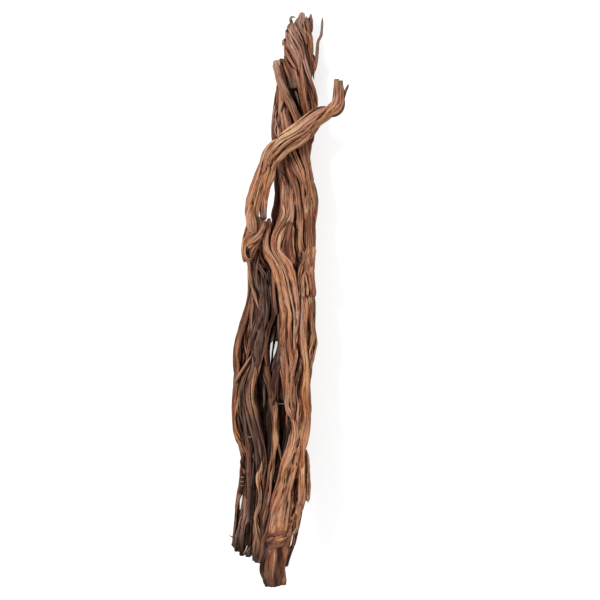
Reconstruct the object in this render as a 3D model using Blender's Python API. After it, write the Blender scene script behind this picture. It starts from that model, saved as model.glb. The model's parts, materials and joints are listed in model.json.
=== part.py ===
"""A dry, bare grapevine: a clump of fluted stems that rise side by side from
cut feet, wind round one another and narrow to a broken top, with one limb that
loops out on the left, crosses in front and turns up on the right.

The clump is shaped standing (x to the right, y to the back, z up from the
floor line at the cut feet) and is then laid down on its back, top towards +X.
Metres."""

import math

import bmesh
import bpy
import numpy as np
from mathutils import Vector

# ---------------------------------------------------------------- named sizes
HEIGHT = 1.83            # standing height, foot to highest tip
EYE_DISTANCE = 2.80      # the front elevation is a perspective one: its eye
EYE_HEIGHT = 1.50        # stands this far in front, this high,
EYE_X = 0.08             # and this far to the right of the main foot
SHEET_MIDDLE = 300.0     # middle of the square elevation sheet, in its units
SHEET_REACH = 287.0      # from there down to the foot, and up to the tip
RING_STEP = 0.052        # height between two sections of a stem
SIDES, THIN_SIDES = 12, 8   # corners of a section, on stems and on thin shoots
THIN = 3.3               # widest half width of a thin shoot, in sheet units
GAP = 0.0034             # clear gap between neighbouring stems
FLATNESS = 0.86          # a stem's depth over its width
LIE_ROLL = -2.26          # the clump's turn about its length as it lies, degrees
LIE_PITCH = 5.54         # and its nose-down turn, degrees

# The elevation's eye looks down so that foot and tip lie equally far from the
# middle of the sheet.
_foot_dip = math.atan(EYE_HEIGHT / EYE_DISTANCE)
_tip_rise = math.atan((HEIGHT - EYE_HEIGHT) / (EYE_DISTANCE + 0.06))
EYE_PITCH = (_foot_dip - _tip_rise) / 2
SHEET_SCALE = SHEET_REACH / math.tan((_foot_dip + _tip_rise) / 2)


def from_sheet(u, v, depth):
    """The point at this depth that the elevation shows at (u, v), v downwards,
    and the size of one sheet unit there."""
    a, b = (u - SHEET_MIDDLE) / SHEET_SCALE, (SHEET_MIDDLE - v) / SHEET_SCALE
    c, s = math.cos(EYE_PITCH), math.sin(EYE_PITCH)
    t = (depth + EYE_DISTANCE) / (c + b * s)
    return EYE_X + a * t, depth, EYE_HEIGHT + (b * c - s) * t, t / SHEET_SCALE


# Upright stems: name, colour, rooted?, then from foot to tip
# (v, u, half width) on the sheet and the depth of the middle in metres.
BROWN, TAN, RED, GREY = (0.30, 0.17, 0.10), (0.42, 0.25, 0.14), (0.33, 0.15, 0.09), (0.17, 0.12, 0.10)
STEMS = [
    ("main_trunk", TAN, True, [
        (584, 273, 10, .025), (572, 272.5, 12.5, .03), (558, 273, 14, .035), (545, 275.5, 14.5, .04),
        (531, 279.5, 14, .045), (515, 280, 10.5, .05), (500, 281, 9.5, .055), (480, 286, 8.5, .06),
        (462, 291, 9.5, .06), (445, 297, 9.5, .065), (428, 300.5, 9.5, .07), (410, 303.5, 7.5, .07),
        (385, 304, 6.5, .075), (355, 306, 8, .08), (325, 306, 8.5, .09), (290, 305, 8.5, .10),
        (250, 303, 8.5, .105), (205, 305, 10, .103), (165, 300, 9, .102), (130, 305, 10, .102),
        (105, 310, 8, .10), (80, 306, 7, .095), (50, 306.5, 6, .095), (30, 303, 6, .095),
        (20, 300.5, 4, .095), (13, 301.5, 2.2, .095)]),
    ("right_branch", TAN, False, [
        (532, 294, 4, .06), (515, 296, 5, .055), (500, 300.5, 5, .05), (475, 301.5, 4.5, .045), (455, 302, 3, .045)]),
    ("thin_right_foot", GREY, True, [
        (565, 287, 2.2, .145), (550, 292, 2.4, .135), (532, 298, 2.6, .125), (505, 305, 3.2, .11),
        (480, 307.5, 3.2, .10), (460, 307, 2.6, .095), (446, 304.5, 2, .095)]),
    ("front_stem", TAN, False, [
        (420, 291, 3, .07), (400, 288, 4, .062), (375, 286, 5, .055), (350, 284, 6.5, .05), (315, 286, 6.8, .045),
        (285, 282.5, 6.8, .042), (262, 274, 5.8, .045), (245, 266.5, 5.5, .05), (230, 266.5, 5, .055), (219, 268, 3.6, .06)]),
    ("winding_stem", TAN, False, [
        (420, 294, 2.6, .055), (390, 292, 3, .05), (350, 293, 3.4, .048), (315, 295.5, 3.8, .045), (290, 293, 5, .042),
        (268, 286.5, 5.5, .038), (250, 277, 5.2, .038), (235, 277, 5.2, .042), (215, 285, 5.5, .055),
        (190, 284.5, 5, .07), (165, 282, 4.5, .08), (148, 285, 4, .085)]),
    ("centre_stem", BROWN, False, [
        (352, 299, 2.6, .052), (320, 298, 3.6, .058), (285, 297, 4.4, .062), (255, 298.5, 5, .064), (220, 298.5, 4.8, .066),
        (190, 295, 4.8, .066), (165, 290, 5, .067), (135, 287.5, 6, .07), (110, 284, 5, .075), (90, 280, 2.4, .08)]),
    ("broken_stem", BROWN, False, [
        (296, 308, 7, .045), (280, 307.5, 7.6, .045), (262, 308, 7, .05), (245, 309, 4.8, .058), (220, 308, 4.4, .064), (198, 308.5, 3.4, .07)]),
    ("ribbon_stem", TAN, False, [
        (252, 314, 2.4, .085), (225, 313.5, 3, .078), (205, 314, 3.8, .072), (180, 309.5, 4.4, .064), (150, 304.5, 4.6, .056),
        (120, 298.5, 4.5, .056), (102, 289.5, 4.5, .054), (82, 280.5, 4.2, .052), (63, 275.5, 3.8, .05)]),
    ("crown_stem", RED, False, [
        (245, 305.5, 2.2, .085), (210, 305, 3.4, .082), (180, 302.5, 4.4, .08), (150, 300.5, 4.2, .086), (120, 307, 4, .084),
        (95, 303.5, 4.6, .068), (70, 300, 5.4, .064), (52, 294.5, 8.4, .064), (38, 291.5, 7, .066), (24, 289, 2.6, .07)]),
    ("left_knot", TAN, False, [
        (263, 247.5, 5, .055), (255, 248.5, 7.2, .048), (243, 251.5, 10.2, .045), (232, 253.5, 10, .045), (223.5, 255, 8.6, .045)]),
    ("loop_limb_left", TAN, False, [
        (222, 251.5, 5.6, .042), (208, 250, 5.6, .038), (192, 253, 5.2, .03), (175, 258.3, 4.6, .022), (158.5, 263.5, 4.2, .018)]),
    ("loop_limb_right", TAN, False, [
        (221, 263.3, 3.4, .045), (205, 263.4, 4, .04), (188, 266, 4.6, .032), (162.3, 272, 4.6, .020)]),
    ("left_outer_stem", BROWN, True, [
        (551, 240, 4.2, .262), (520, 243.5, 4.4, .24), (493, 246.2, 3.6, .225), (468, 247, 4.4, .21), (448, 243.5, 5, .20),
        (430, 238, 5, .185), (405, 236.5, 4.8, .17), (375, 238, 4.4, .155), (350, 238, 4.8, .14), (325, 243.5, 4.6, .13),
        (295, 250.5, 3, .115), (264, 249.5, 2.6, .10)]),
    ("left_thin_shoot", GREY, True, [
        (546, 234.6, 3, .295), (520, 236.6, 2.8, .27), (500, 238, 2.2, .255), (480, 241, 2.2, .24), (466, 243, 2.8, .228), (455, 243.6, 2, .222)]),
    ("left_middle_stem", GREY, True, [
        (555, 248, 4.2, .225), (520, 250.5, 4, .21), (480, 251.5, 4.4, .19), (445, 250, 4.4, .17), (415, 244, 4, .155),
        (385, 244, 3.8, .135), (355, 252, 5.4, .12), (320, 255.5, 6, .105), (285, 256.5, 4.6, .09), (262, 256, 3.6, .08)]),
    ("left_front_stem", TAN, True, [
        (561, 256.5, 4.6, .185), (530, 256.5, 4.6, .165), (500, 260, 4.4, .15), (470, 261, 4.6, .14), (445, 258.5, 4.6, .13),
        (415, 251, 4.8, .12), (390, 249.5, 4.8, .11), (362, 257, 5, .10), (335, 262.5, 5.4, .095), (305, 264, 5.2, .085),
        (275, 262, 4.4, .08), (255, 262, 2.8, .08)]),
    ("left_inner_stem", RED, True, [
        (562, 262, 3.4, .17), (530, 263, 3.4, .15), (500, 267, 3.6, .13), (470, 272.5, 4.4, .12), (445, 276, 4.6, .115),
        (415, 275, 4.2, .115), (390, 271, 4.2, .115), (360, 266, 3.8, .12), (330, 269.5, 4.6, .12), (295, 272.5, 5, .105), (262, 269.5, 3.4, .10)]),
    ("left_rear_strand", GREY, False, [
        (262, 280, 4.6, .105), (235, 276.5, 5.2, .10), (210, 277, 4, .10), (180, 279, 3.4, .10), (155, 277.5, 4, .095),
        (130, 275.5, 4.2, .09), (108, 276, 3, .09), (86, 277.4, 1.4, .09)]),
    ("inner_stem", GREY, True, [
        (573, 273.5, 6.5, .102), (545, 275, 7, .105), (510, 281, 6, .115), (470, 286, 6, .12), (430, 291.5, 6.5, .122),
        (390, 294, 6.5, .12), (350, 295, 6.5, .118), (310, 295, 4.5, .11)]),
    ("rear_left_stem", GREY, True, [
        (549, 250, 6, .275), (515, 252.5, 6.5, .255), (470, 258, 7, .225), (425, 259, 9, .192), (380, 253, 10, .18),
        (340, 251.5, 9.5, .172), (300, 260, 8.5, .158), (265, 268, 7, .15), (240, 277, 4, .15)]),
    ("rear_middle_stem", GREY, True, [
        (556, 264, 5, .22), (515, 269.5, 6, .21), (470, 277, 7, .19), (425, 281, 7.5, .165), (385, 284, 6.5, .15),
        (340, 284.5, 6.6, .14), (300, 282, 8, .135), (260, 285, 8, .14), (215, 287, 8, .14), (165, 287, 7.5, .135),
        (120, 289, 7, .125), (85, 290, 4.8, .11), (58, 286, 3.2, .10)]),
    ("rear_right_stem", GREY, True, [
        (545, 276.5, 6.4, .289), (515, 284, 6.5, .262), (470, 292.5, 8, .232), (425, 298, 9, .220), (380, 299, 9, .213),
        (340, 302, 9.5, .206), (290, 305, 9.5, .193), (240, 304, 9, .179), (190, 302, 9, .163), (140, 300, 8.5, .150),
        (95, 301, 7.5, .139), (60, 303, 6, .133), (40, 304, 3.5, .130)]),
]

# Limbs that run across: name, colour, then sections from foot to tip, each
# the two edges (u, v)-(u, v) on the sheet and the depth of the middle.
LIMBS = [
    ("loop_limb_crossing", TAN, .78, [
        (261.5, 156, 278.5, 162, .018), (266, 149, 284, 157, .014), (273, 141, 290, 152, .008), (282, 133, 297, 148, .004),
        (291, 125.5, 305, 143.5, .002), (300, 118.5, 312, 137, .0), (309, 111.5, 317.5, 129, .0), (318, 107, 325, 122.5, .004),
        (326, 105.6, 331, 118, .008)]),
    ("loop_limb_tip", TAN, .85, [
        (327, 105.4, 332, 117.4, .009), (331.3, 102.6, 341, 112.5, .010), (333, 98, 344, 104, .012), (333, 90, 343.8, 93, .014),
        (333.4, 84, 342.6, 86, .016), (333.8, 79, 342, 81.5, .018)]),
    ("loop_limb_twig", GREY, .9, [
        (344.3, 95.6, 346.2, 96.4, .012), (345.2, 91, 347.2, 91.8, .010), (346.8, 85.4, 348.6, 86.4, .008)]),
    ("top_twig", GREY, .9, [
        (314.2, 71, 316.2, 71.4, .082), (314.8, 60, 318.0, 60.4, .080), (316, 50, 319.4, 50.2, .078), (316.4, 42, 319.6, 42.6, .076),
        (319, 37, 321.8, 38, .075), (320.4, 30, 322.8, 30.2, .074), (321, 19, 323.4, 19.2, .074)]),
    ("gap_stem", GREY, .9, [
        (269.8, 392, 272.6, 392, .150), (270.2, 366, 272.0, 366.2, .150), (272.4, 345, 274.2, 345.2, .145), (273.4, 332, 275.2, 332.2, .134),
        (274, 324, 275.8, 324, .130)]),
]


# ------------------------------------------------------------------ functions
def spline(knots, values, at):
    """Smooth curve through (knots, values), knots rising."""
    k, p = np.asarray(knots, float), np.asarray(values, float)
    slope = np.gradient(p, k, axis=0)
    i = np.clip(np.searchsorted(k, at, side="right") - 1, 0, len(k) - 2)
    h = (k[i + 1] - k[i])[:, None]
    t = ((at - k[i]) / h[:, 0])[:, None]
    out = ((2 * t**3 - 3 * t**2 + 1) * p[i] + (t**3 - 2 * t**2 + t) * h * slope[i]
           + (-2 * t**3 + 3 * t**2) * p[i + 1] + (t**3 - t**2) * h * slope[i + 1])
    return out


class Stem:
    def __init__(self, name, colour, rooted, rows):
        self.name, self.colour = name, colour
        self.sides = THIN_SIDES if max(row[2] for row in rows) < THIN else SIDES
        track = []
        for v, u, half, depth in rows:
            x, y, z, unit = from_sheet(u, v, depth)
            track.append((z, x, y, half * unit))
        track.sort()
        if rooted:                               # the cut foot stands on the floor line
            z0, x0, y0, r0 = track[0]
            z1, x1, y1, r1 = track[1]
            f = (0 - z0) / (z1 - z0)
            track[0] = (0.0, x0 + f * (x1 - x0), y0 + f * (y1 - y0), r0 + f * (r1 - r0))
        self.z = np.array([t[0] for t in track])
        self.rest = np.array([t[1:] for t in track])
        self.low, self.high = self.z[0], self.z[-1]

    def at(self, z):
        """x, y, radius at each height, held beyond the ends."""
        return spline(self.z, self.rest, np.clip(z, self.low, self.high))


def levels(low, high):
    inner = [k * RING_STEP for k in range(1, 60) if low + 0.3 * RING_STEP < k * RING_STEP < high - 0.3 * RING_STEP]
    return [low] + inner + [high]


def section(stem, z, others):
    """Corners of a stem's level section, cut back from its neighbours along
    the lines that part them."""
    x, y, r = stem.at(np.array([z]))[0]
    lines = []
    for other in others:
        if not (other.low - RING_STEP < z < other.high + RING_STEP):
            continue
        if other.high <= stem.low + 0.004 or other.low >= stem.high - 0.004:
            continue                             # end to end, never side by side
        ox, oy, orad = other.at(np.array([z]))[0]
        dx, dy = ox - x, oy - y
        d = math.hypot(dx, dy)
        if d < 1e-4 or d > 1.6 * (r + orad) + GAP:
            continue
        mine = r * reach(dx / d, dy / d)
        theirs = orad * reach(dx / d, dy / d)
        share = min(max(mine / (mine + theirs), 0.3), 0.7)
        lines.append((math.atan2(dy, dx), max(share * d - GAP / 2, 0.0015)))
    corners = []
    for k in range(stem.sides):
        a = 2 * math.pi * k / stem.sides
        rho = r * reach(math.cos(a), math.sin(a))
        for phi, t in lines:
            c = math.cos(a - phi)
            if c > 0.05:
                rho = min(rho, t / c)
        corners.append((x + rho * math.cos(a), y + rho * math.sin(a), z))
    return corners


def reach(c, s):
    """Radius of the flattened unit section in the direction (c, s)."""
    return FLATNESS / math.hypot(FLATNESS * c, s)


def limb_sections(rows, flat):
    """Oval sections between the two edges of a limb that runs across."""
    widest = max(math.hypot(row[2] - row[0], row[3] - row[1]) for row in rows) / 2
    sides = THIN_SIDES if widest < THIN else SIDES
    knots = np.arange(len(rows), dtype=float)
    at = np.linspace(0, len(rows) - 1, 2 * len(rows) - 1)
    out = []
    for u1, v1, u2, v2, depth in spline(knots, rows, at):
        a, b = Vector(from_sheet(u1, v1, depth)[:3]), Vector(from_sheet(u2, v2, depth)[:3])
        middle, half = (a + b) / 2, (b - a) / 2
        back = Vector((0, half.length * flat, 0))
        out.append([tuple(middle + half * math.cos(t) + back * math.sin(t))
                    for t in (2 * math.pi * k / sides for k in range(sides))])
    return out


def lie_down(p):
    """From the standing clump to the clump on its back: up becomes +X, the
    front becomes +Z, the right becomes -Y, with the small turns of its rest."""
    roll, pitch = math.radians(LIE_ROLL), math.radians(LIE_PITCH)
    x, y, z = p[2], -p[0], -p[1]
    y, z = y * math.cos(roll) - z * math.sin(roll), y * math.sin(roll) + z * math.cos(roll)
    x, z = x * math.cos(pitch) + z * math.sin(pitch), -x * math.sin(pitch) + z * math.cos(pitch)
    return Vector((x, y, z))


def loft(name, rings):
    """One closed body through rings of equal corner counts."""
    bm = bmesh.new()
    rows = [[bm.verts.new(lie_down(p)) for p in ring] for ring in rings]
    n = len(rows[0])
    for lower, upper in zip(rows, rows[1:]):
        for k in range(n):
            bm.faces.new((lower[k], lower[(k + 1) % n], upper[(k + 1) % n], upper[k]))
    bm.faces.new(list(reversed(rows[0])))
    bm.faces.new(rows[-1])
    bmesh.ops.triangulate(bm, faces=bm.faces[:])
    bmesh.ops.recalc_face_normals(bm, faces=bm.faces[:])
    mesh = bpy.data.meshes.new(name)
    bm.to_mesh(mesh)
    bm.free()
    return mesh


def wood(name, colour):
    material = bpy.data.materials.new(name + "_wood")
    material.use_nodes = True
    shader = material.node_tree.nodes["Principled BSDF"]
    shader.inputs["Base Color"].default_value = (*colour, 1)
    shader.inputs["Roughness"].default_value = 0.75
    shader.inputs["Metallic"].default_value = 0.0
    return material


# ------------------------------------------------------------------ the model
for old in list(bpy.data.objects):
    bpy.data.objects.remove(old, do_unlink=True)
collection = bpy.data.collections.new("grapevine")
bpy.context.scene.collection.children.link(collection)

stems = [Stem(*row) for row in STEMS]
bodies = []
for stem in stems:
    others = [s for s in stems if s is not stem]
    bodies.append((stem.name, stem.colour, [section(stem, z, others) for z in levels(stem.low, stem.high)]))
for name, colour, flat, rows in LIMBS:
    bodies.append((name, colour, limb_sections(rows, flat)))

made = []
for name, colour, rings in bodies:
    thing = bpy.data.objects.new(name, loft(name, rings))
    thing.data.materials.append(wood(name, colour))
    collection.objects.link(thing)
    made.append(thing)

# The clump lies on the floor, centred over the origin.
corners = np.array([v.co for thing in made for v in thing.data.vertices])
low, high = corners.min(axis=0), corners.max(axis=0)
shift = Vector((-(low[0] + high[0]) / 2, -(low[1] + high[1]) / 2, -low[2]))
for thing in made:
    for vertex in thing.data.vertices:
        vertex.co = vertex.co + shift
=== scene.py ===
"""The dry grapevine as it looks: every stem's bark strands, grooves, broken
ends and colours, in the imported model's frame, with the floor, the lights and
the camera. Metres. The clump is described standing (x right, y back, z up) on
a perspective front elevation and is then laid down, as the model is."""

import math

import bpy
import numpy as np
from mathutils import Matrix, Vector
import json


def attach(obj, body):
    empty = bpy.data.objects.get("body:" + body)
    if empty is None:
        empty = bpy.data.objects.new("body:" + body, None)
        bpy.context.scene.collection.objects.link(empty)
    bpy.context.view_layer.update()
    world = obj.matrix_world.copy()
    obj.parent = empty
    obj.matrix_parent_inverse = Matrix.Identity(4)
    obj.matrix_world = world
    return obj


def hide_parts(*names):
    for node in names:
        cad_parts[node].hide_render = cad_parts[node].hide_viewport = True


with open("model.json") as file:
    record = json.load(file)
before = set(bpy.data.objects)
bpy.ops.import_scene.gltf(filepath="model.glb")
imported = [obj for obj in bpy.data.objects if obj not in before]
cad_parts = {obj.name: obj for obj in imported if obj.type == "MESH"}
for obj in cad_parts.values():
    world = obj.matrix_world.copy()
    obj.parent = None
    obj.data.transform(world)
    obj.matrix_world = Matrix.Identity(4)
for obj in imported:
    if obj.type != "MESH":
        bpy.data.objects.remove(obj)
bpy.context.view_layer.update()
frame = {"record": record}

# ------------------------------------------------------- elevation and frame
HEIGHT, EYE_DISTANCE, EYE_HEIGHT, EYE_X = 1.83, 2.80, 1.50, 0.08
SHEET_MIDDLE, SHEET_REACH, FLATNESS = 300.0, 287.0, 0.86
_foot_dip = math.atan(EYE_HEIGHT / EYE_DISTANCE)
_tip_rise = math.atan((HEIGHT - EYE_HEIGHT) / (EYE_DISTANCE + 0.06))
EYE_PITCH = (_foot_dip - _tip_rise) / 2
SHEET_SCALE = SHEET_REACH / math.tan((_foot_dip + _tip_rise) / 2)
LIE_ROLL, LIE_PITCH = math.radians(-2.26), math.radians(5.54)
LIE_SHIFT = (-0.89358, 0.03450, 0.30948)


def from_sheet(u, v, depth):
    """Standing points shown at (u, v) at these depths, and the size there of
    one sheet unit."""
    u, v, depth = np.asarray(u, float), np.asarray(v, float), np.asarray(depth, float)
    a, b = (u - SHEET_MIDDLE) / SHEET_SCALE, (SHEET_MIDDLE - v) / SHEET_SCALE
    c, s = math.cos(EYE_PITCH), math.sin(EYE_PITCH)
    t = (depth + EYE_DISTANCE) / (c + b * s)
    return np.stack([EYE_X + a * t, depth + 0 * a, EYE_HEIGHT + (b * c - s) * t], -1), t / SHEET_SCALE


def lie_turn(p):
    """Standing directions, laid down."""
    x, y, z = p[..., 2], -p[..., 0], -p[..., 1]
    cr, sr, cp, sp = math.cos(LIE_ROLL), math.sin(LIE_ROLL), math.cos(LIE_PITCH), math.sin(LIE_PITCH)
    y, z = y * cr - z * sr, y * sr + z * cr
    x, z = x * cp + z * sp, -x * sp + z * cp
    return np.stack([x, y, z], -1)


def lie_down(p):
    return lie_turn(p) + np.array(LIE_SHIFT)


# ------------------------------------------------------------------- colours
# Plain colours of the dry wood, as sRGB bytes.
WOOD = {
    "O": (202, 146, 106),     # warm orange tan
    "T": (196, 152, 118),    # tan
    "L": (214, 176, 144),    # pale, worn wood
    "P": (198, 150, 126),    # pinkish
    "V": (186, 150, 136),     # greyish pink
    "N": (166, 130, 108),     # neutral brown
    "W": (238, 226, 202),     # bare white shreds
    "M": (168, 120, 92),     # mid brown
    "R": (152, 98, 77),      # red-brown
    "B": (126, 86, 64),      # brown
    "G": (126, 102, 90),     # grey-brown
    "D": (98, 71, 63),      # dark, purplish
    # K is near black: dark feet and shreds, and also painted shade laid in hollows and clefts
    "K": (60, 40, 30),       # near black
    "S": (160, 140, 122),    # silvery weathered chip
}


def linear(rgb):
    c = np.asarray(rgb, float) / 255
    return np.where(c <= 0.04045, c / 12.92, ((c + 0.055) / 1.055) ** 2.4)


BALANCE = np.array([0.83, 0.91, 1.00])     # brings the whole clump to its dry, slightly dull brown
WOOD_LINEAR = {k: linear(v) * BALANCE for k, v in WOOD.items()}


# The model's stems: name, colour, rooted?, then (v, u, half width, depth), foot first.
BROWN = TAN = RED = GREY = None
STEMS = [
    ("main_trunk", TAN, True, [
        (584, 273, 10, .025), (572, 272.5, 12.5, .03), (558, 273, 14, .035), (545, 275.5, 14.5, .04),
        (531, 279.5, 14, .045), (515, 280, 10.5, .05), (500, 281, 9.5, .055), (480, 286, 8.5, .06),
        (462, 291, 9.5, .06), (445, 297, 9.5, .065), (428, 300.5, 9.5, .07), (410, 303.5, 7.5, .07),
        (385, 304, 6.5, .075), (355, 306, 8, .08), (325, 306, 8.5, .09), (290, 305, 8.5, .10),
        (250, 303, 8.5, .105), (205, 305, 10, .103), (165, 300, 9, .102), (130, 305, 10, .102),
        (105, 310, 8, .10), (80, 306, 7, .095), (50, 306.5, 6, .095), (30, 303, 6, .095),
        (20, 300.5, 4, .095), (13, 301.5, 2.2, .095)]),
    ("right_branch", TAN, False, [
        (532, 294, 4, .06), (515, 296, 5, .055), (500, 300.5, 5, .05), (475, 301.5, 4.5, .045), (455, 302, 3, .045)]),
    ("thin_right_foot", GREY, True, [
        (565, 287, 2.2, .145), (550, 292, 2.4, .135), (532, 298, 2.6, .125), (505, 305, 3.2, .11),
        (480, 307.5, 3.2, .10), (460, 307, 2.6, .095), (446, 304.5, 2, .095)]),
    ("front_stem", TAN, False, [
        (420, 291, 3, .07), (400, 288, 4, .062), (375, 286, 5, .055), (350, 284, 6.5, .05), (315, 286, 6.8, .045),
        (285, 282.5, 6.8, .042), (262, 274, 5.8, .045), (245, 266.5, 5.5, .05), (230, 266.5, 5, .055), (219, 268, 3.6, .06)]),
    ("winding_stem", TAN, False, [
        (420, 294, 2.6, .055), (390, 292, 3, .05), (350, 293, 3.4, .048), (315, 295.5, 3.8, .045), (290, 293, 5, .042),
        (268, 286.5, 5.5, .038), (250, 277, 5.2, .038), (235, 277, 5.2, .042), (215, 285, 5.5, .055),
        (190, 284.5, 5, .07), (165, 282, 4.5, .08), (148, 285, 4, .085)]),
    ("centre_stem", BROWN, False, [
        (352, 299, 2.6, .052), (320, 298, 3.6, .058), (285, 297, 4.4, .062), (255, 298.5, 5, .064), (220, 298.5, 4.8, .066),
        (190, 295, 4.8, .066), (165, 290, 5, .067), (135, 287.5, 6, .07), (110, 284, 5, .075), (90, 280, 2.4, .08)]),
    ("broken_stem", BROWN, False, [
        (296, 308, 7, .045), (280, 307.5, 7.6, .045), (262, 308, 7, .05), (245, 309, 4.8, .058), (220, 308, 4.4, .064), (198, 308.5, 3.4, .07)]),
    ("ribbon_stem", TAN, False, [
        (252, 314, 2.4, .085), (225, 313.5, 3, .078), (205, 314, 3.8, .072), (180, 309.5, 4.4, .064), (150, 304.5, 4.6, .056),
        (120, 298.5, 4.5, .056), (102, 289.5, 4.5, .054), (82, 280.5, 4.2, .052), (63, 275.5, 3.8, .05)]),
    ("crown_stem", RED, False, [
        (245, 305.5, 2.2, .085), (210, 305, 3.4, .082), (180, 302.5, 4.4, .08), (150, 300.5, 4.2, .086), (120, 307, 4, .084),
        (95, 303.5, 4.6, .068), (70, 300, 5.4, .064), (52, 294.5, 8.4, .064), (38, 291.5, 7, .066), (24, 289, 2.6, .07)]),
    ("left_knot", TAN, False, [
        (263, 247.5, 5, .055), (255, 248.5, 7.2, .048), (243, 251.5, 10.2, .045), (232, 253.5, 10, .045), (223.5, 255, 8.6, .045)]),
    ("loop_limb_left", TAN, False, [
        (222, 251.5, 5.6, .042), (208, 250, 5.6, .038), (192, 253, 5.2, .03), (175, 258.3, 4.6, .022), (158.5, 263.5, 4.2, .018)]),
    ("loop_limb_right", TAN, False, [
        (221, 263.3, 3.4, .045), (205, 263.4, 4, .04), (188, 266, 4.6, .032), (162.3, 272, 4.6, .020)]),
    ("left_outer_stem", BROWN, True, [
        (551, 240, 4.2, .262), (520, 243.5, 4.4, .24), (493, 246.2, 3.6, .225), (468, 247, 4.4, .21), (448, 243.5, 5, .20),
        (430, 238, 5, .185), (405, 236.5, 4.8, .17), (375, 238, 4.4, .155), (350, 238, 4.8, .14), (325, 243.5, 4.6, .13),
        (295, 250.5, 3, .115), (264, 249.5, 2.6, .10)]),
    ("left_thin_shoot", GREY, True, [
        (546, 234.6, 3, .295), (520, 236.6, 2.8, .27), (500, 238, 2.2, .255), (480, 241, 2.2, .24), (466, 243, 2.8, .228), (455, 243.6, 2, .222)]),
    ("left_middle_stem", GREY, True, [
        (555, 248, 4.2, .225), (520, 250.5, 4, .21), (480, 251.5, 4.4, .19), (445, 250, 4.4, .17), (415, 244, 4, .155),
        (385, 244, 3.8, .135), (355, 252, 5.4, .12), (320, 255.5, 6, .105), (285, 256.5, 4.6, .09), (262, 256, 3.6, .08)]),
    ("left_front_stem", TAN, True, [
        (561, 256.5, 4.6, .185), (530, 256.5, 4.6, .165), (500, 260, 4.4, .15), (470, 261, 4.6, .14), (445, 258.5, 4.6, .13),
        (415, 251, 4.8, .12), (390, 249.5, 4.8, .11), (362, 257, 5, .10), (335, 262.5, 5.4, .095), (305, 264, 5.2, .085),
        (275, 262, 4.4, .08), (255, 262, 2.8, .08)]),
    ("left_inner_stem", RED, True, [
        (562, 262, 3.4, .17), (530, 263, 3.4, .15), (500, 267, 3.6, .13), (470, 272.5, 4.4, .12), (445, 276, 4.6, .115),
        (415, 275, 4.2, .115), (390, 271, 4.2, .115), (360, 266, 3.8, .12), (330, 269.5, 4.6, .12), (295, 272.5, 5, .105), (262, 269.5, 3.4, .10)]),
    ("left_rear_strand", GREY, False, [
        (262, 280, 4.6, .105), (235, 276.5, 5.2, .10), (210, 277, 4, .10), (180, 279, 3.4, .10), (155, 277.5, 4, .095),
        (130, 275.5, 4.2, .09), (108, 276, 3, .09), (86, 277.4, 1.4, .09)]),
    ("inner_stem", GREY, True, [
        (573, 273.5, 6.5, .102), (545, 275, 7, .105), (510, 281, 6, .115), (470, 286, 6, .12), (430, 291.5, 6.5, .122),
        (390, 294, 6.5, .12), (350, 295, 6.5, .118), (310, 295, 4.5, .11)]),
    ("rear_left_stem", GREY, True, [
        (549, 250, 6, .275), (515, 252.5, 6.5, .255), (470, 258, 7, .225), (425, 259, 9, .192), (380, 253, 10, .18),
        (340, 251.5, 9.5, .172), (300, 260, 8.5, .158), (265, 268, 7, .15), (240, 277, 4, .15)]),
    ("rear_middle_stem", GREY, True, [
        (556, 264, 5, .22), (515, 269.5, 6, .21), (470, 277, 7, .19), (425, 281, 7.5, .165), (385, 284, 6.5, .15),
        (340, 284.5, 6.6, .14), (300, 282, 8, .135), (260, 285, 8, .14), (215, 287, 8, .14), (165, 287, 7.5, .135),
        (120, 289, 7, .125), (85, 290, 4.8, .11), (58, 286, 3.2, .10)]),
    ("rear_right_stem", GREY, True, [
        (545, 276.5, 6.4, .289), (515, 284, 6.5, .262), (470, 292.5, 8, .232), (425, 298, 9, .220), (380, 299, 9, .213),
        (340, 302, 9.5, .206), (290, 305, 9.5, .193), (240, 304, 9, .179), (190, 302, 9, .163), (140, 300, 8.5, .150),
        (95, 301, 7.5, .139), (60, 303, 6, .133), (40, 304, 3.5, .130)]),
]

# Limbs that run across: name, colour, then sections from foot to tip, each
# the two edges (u, v)-(u, v) on the sheet and the depth of the middle.
LIMBS = [
    ("loop_limb_crossing", TAN, .78, [
        (261.5, 156, 278.5, 162, .018), (266, 149, 284, 157, .014), (273, 141, 290, 152, .008), (282, 133, 297, 148, .004),
        (291, 125.5, 305, 143.5, .002), (300, 118.5, 312, 137, .0), (309, 111.5, 317.5, 129, .0), (318, 107, 325, 122.5, .004),
        (326, 105.6, 331, 118, .008)]),
    ("loop_limb_tip", TAN, .85, [
        (327, 105.4, 332, 117.4, .009), (331.3, 102.6, 341, 112.5, .010), (333, 98, 344, 104, .012), (333, 90, 343.8, 93, .014),
        (333.4, 84, 342.6, 86, .016), (333.8, 79, 342, 81.5, .018)]),
    ("loop_limb_twig", GREY, .9, [
        (344.3, 95.6, 346.2, 96.4, .012), (345.2, 91, 347.2, 91.8, .010), (346.8, 85.4, 348.6, 86.4, .008)]),
    ("top_twig", GREY, .9, [
        (314.2, 71, 316.2, 71.4, .082), (314.8, 60, 318.0, 60.4, .080), (316, 50, 319.4, 50.2, .078), (316.4, 42, 319.6, 42.6, .076),
        (319, 37, 321.8, 38, .075), (320.4, 30, 322.8, 30.2, .074), (321, 19, 323.4, 19.2, .074)]),
    ("gap_stem", GREY, .9, [
        (269.8, 392, 272.6, 392, .150), (270.2, 366, 272.0, 366.2, .150), (272.4, 345, 274.2, 345.2, .145), (273.4, 332, 275.2, 332.2, .134),
        (274, 324, 275.8, 324, .130)]),
]



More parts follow.
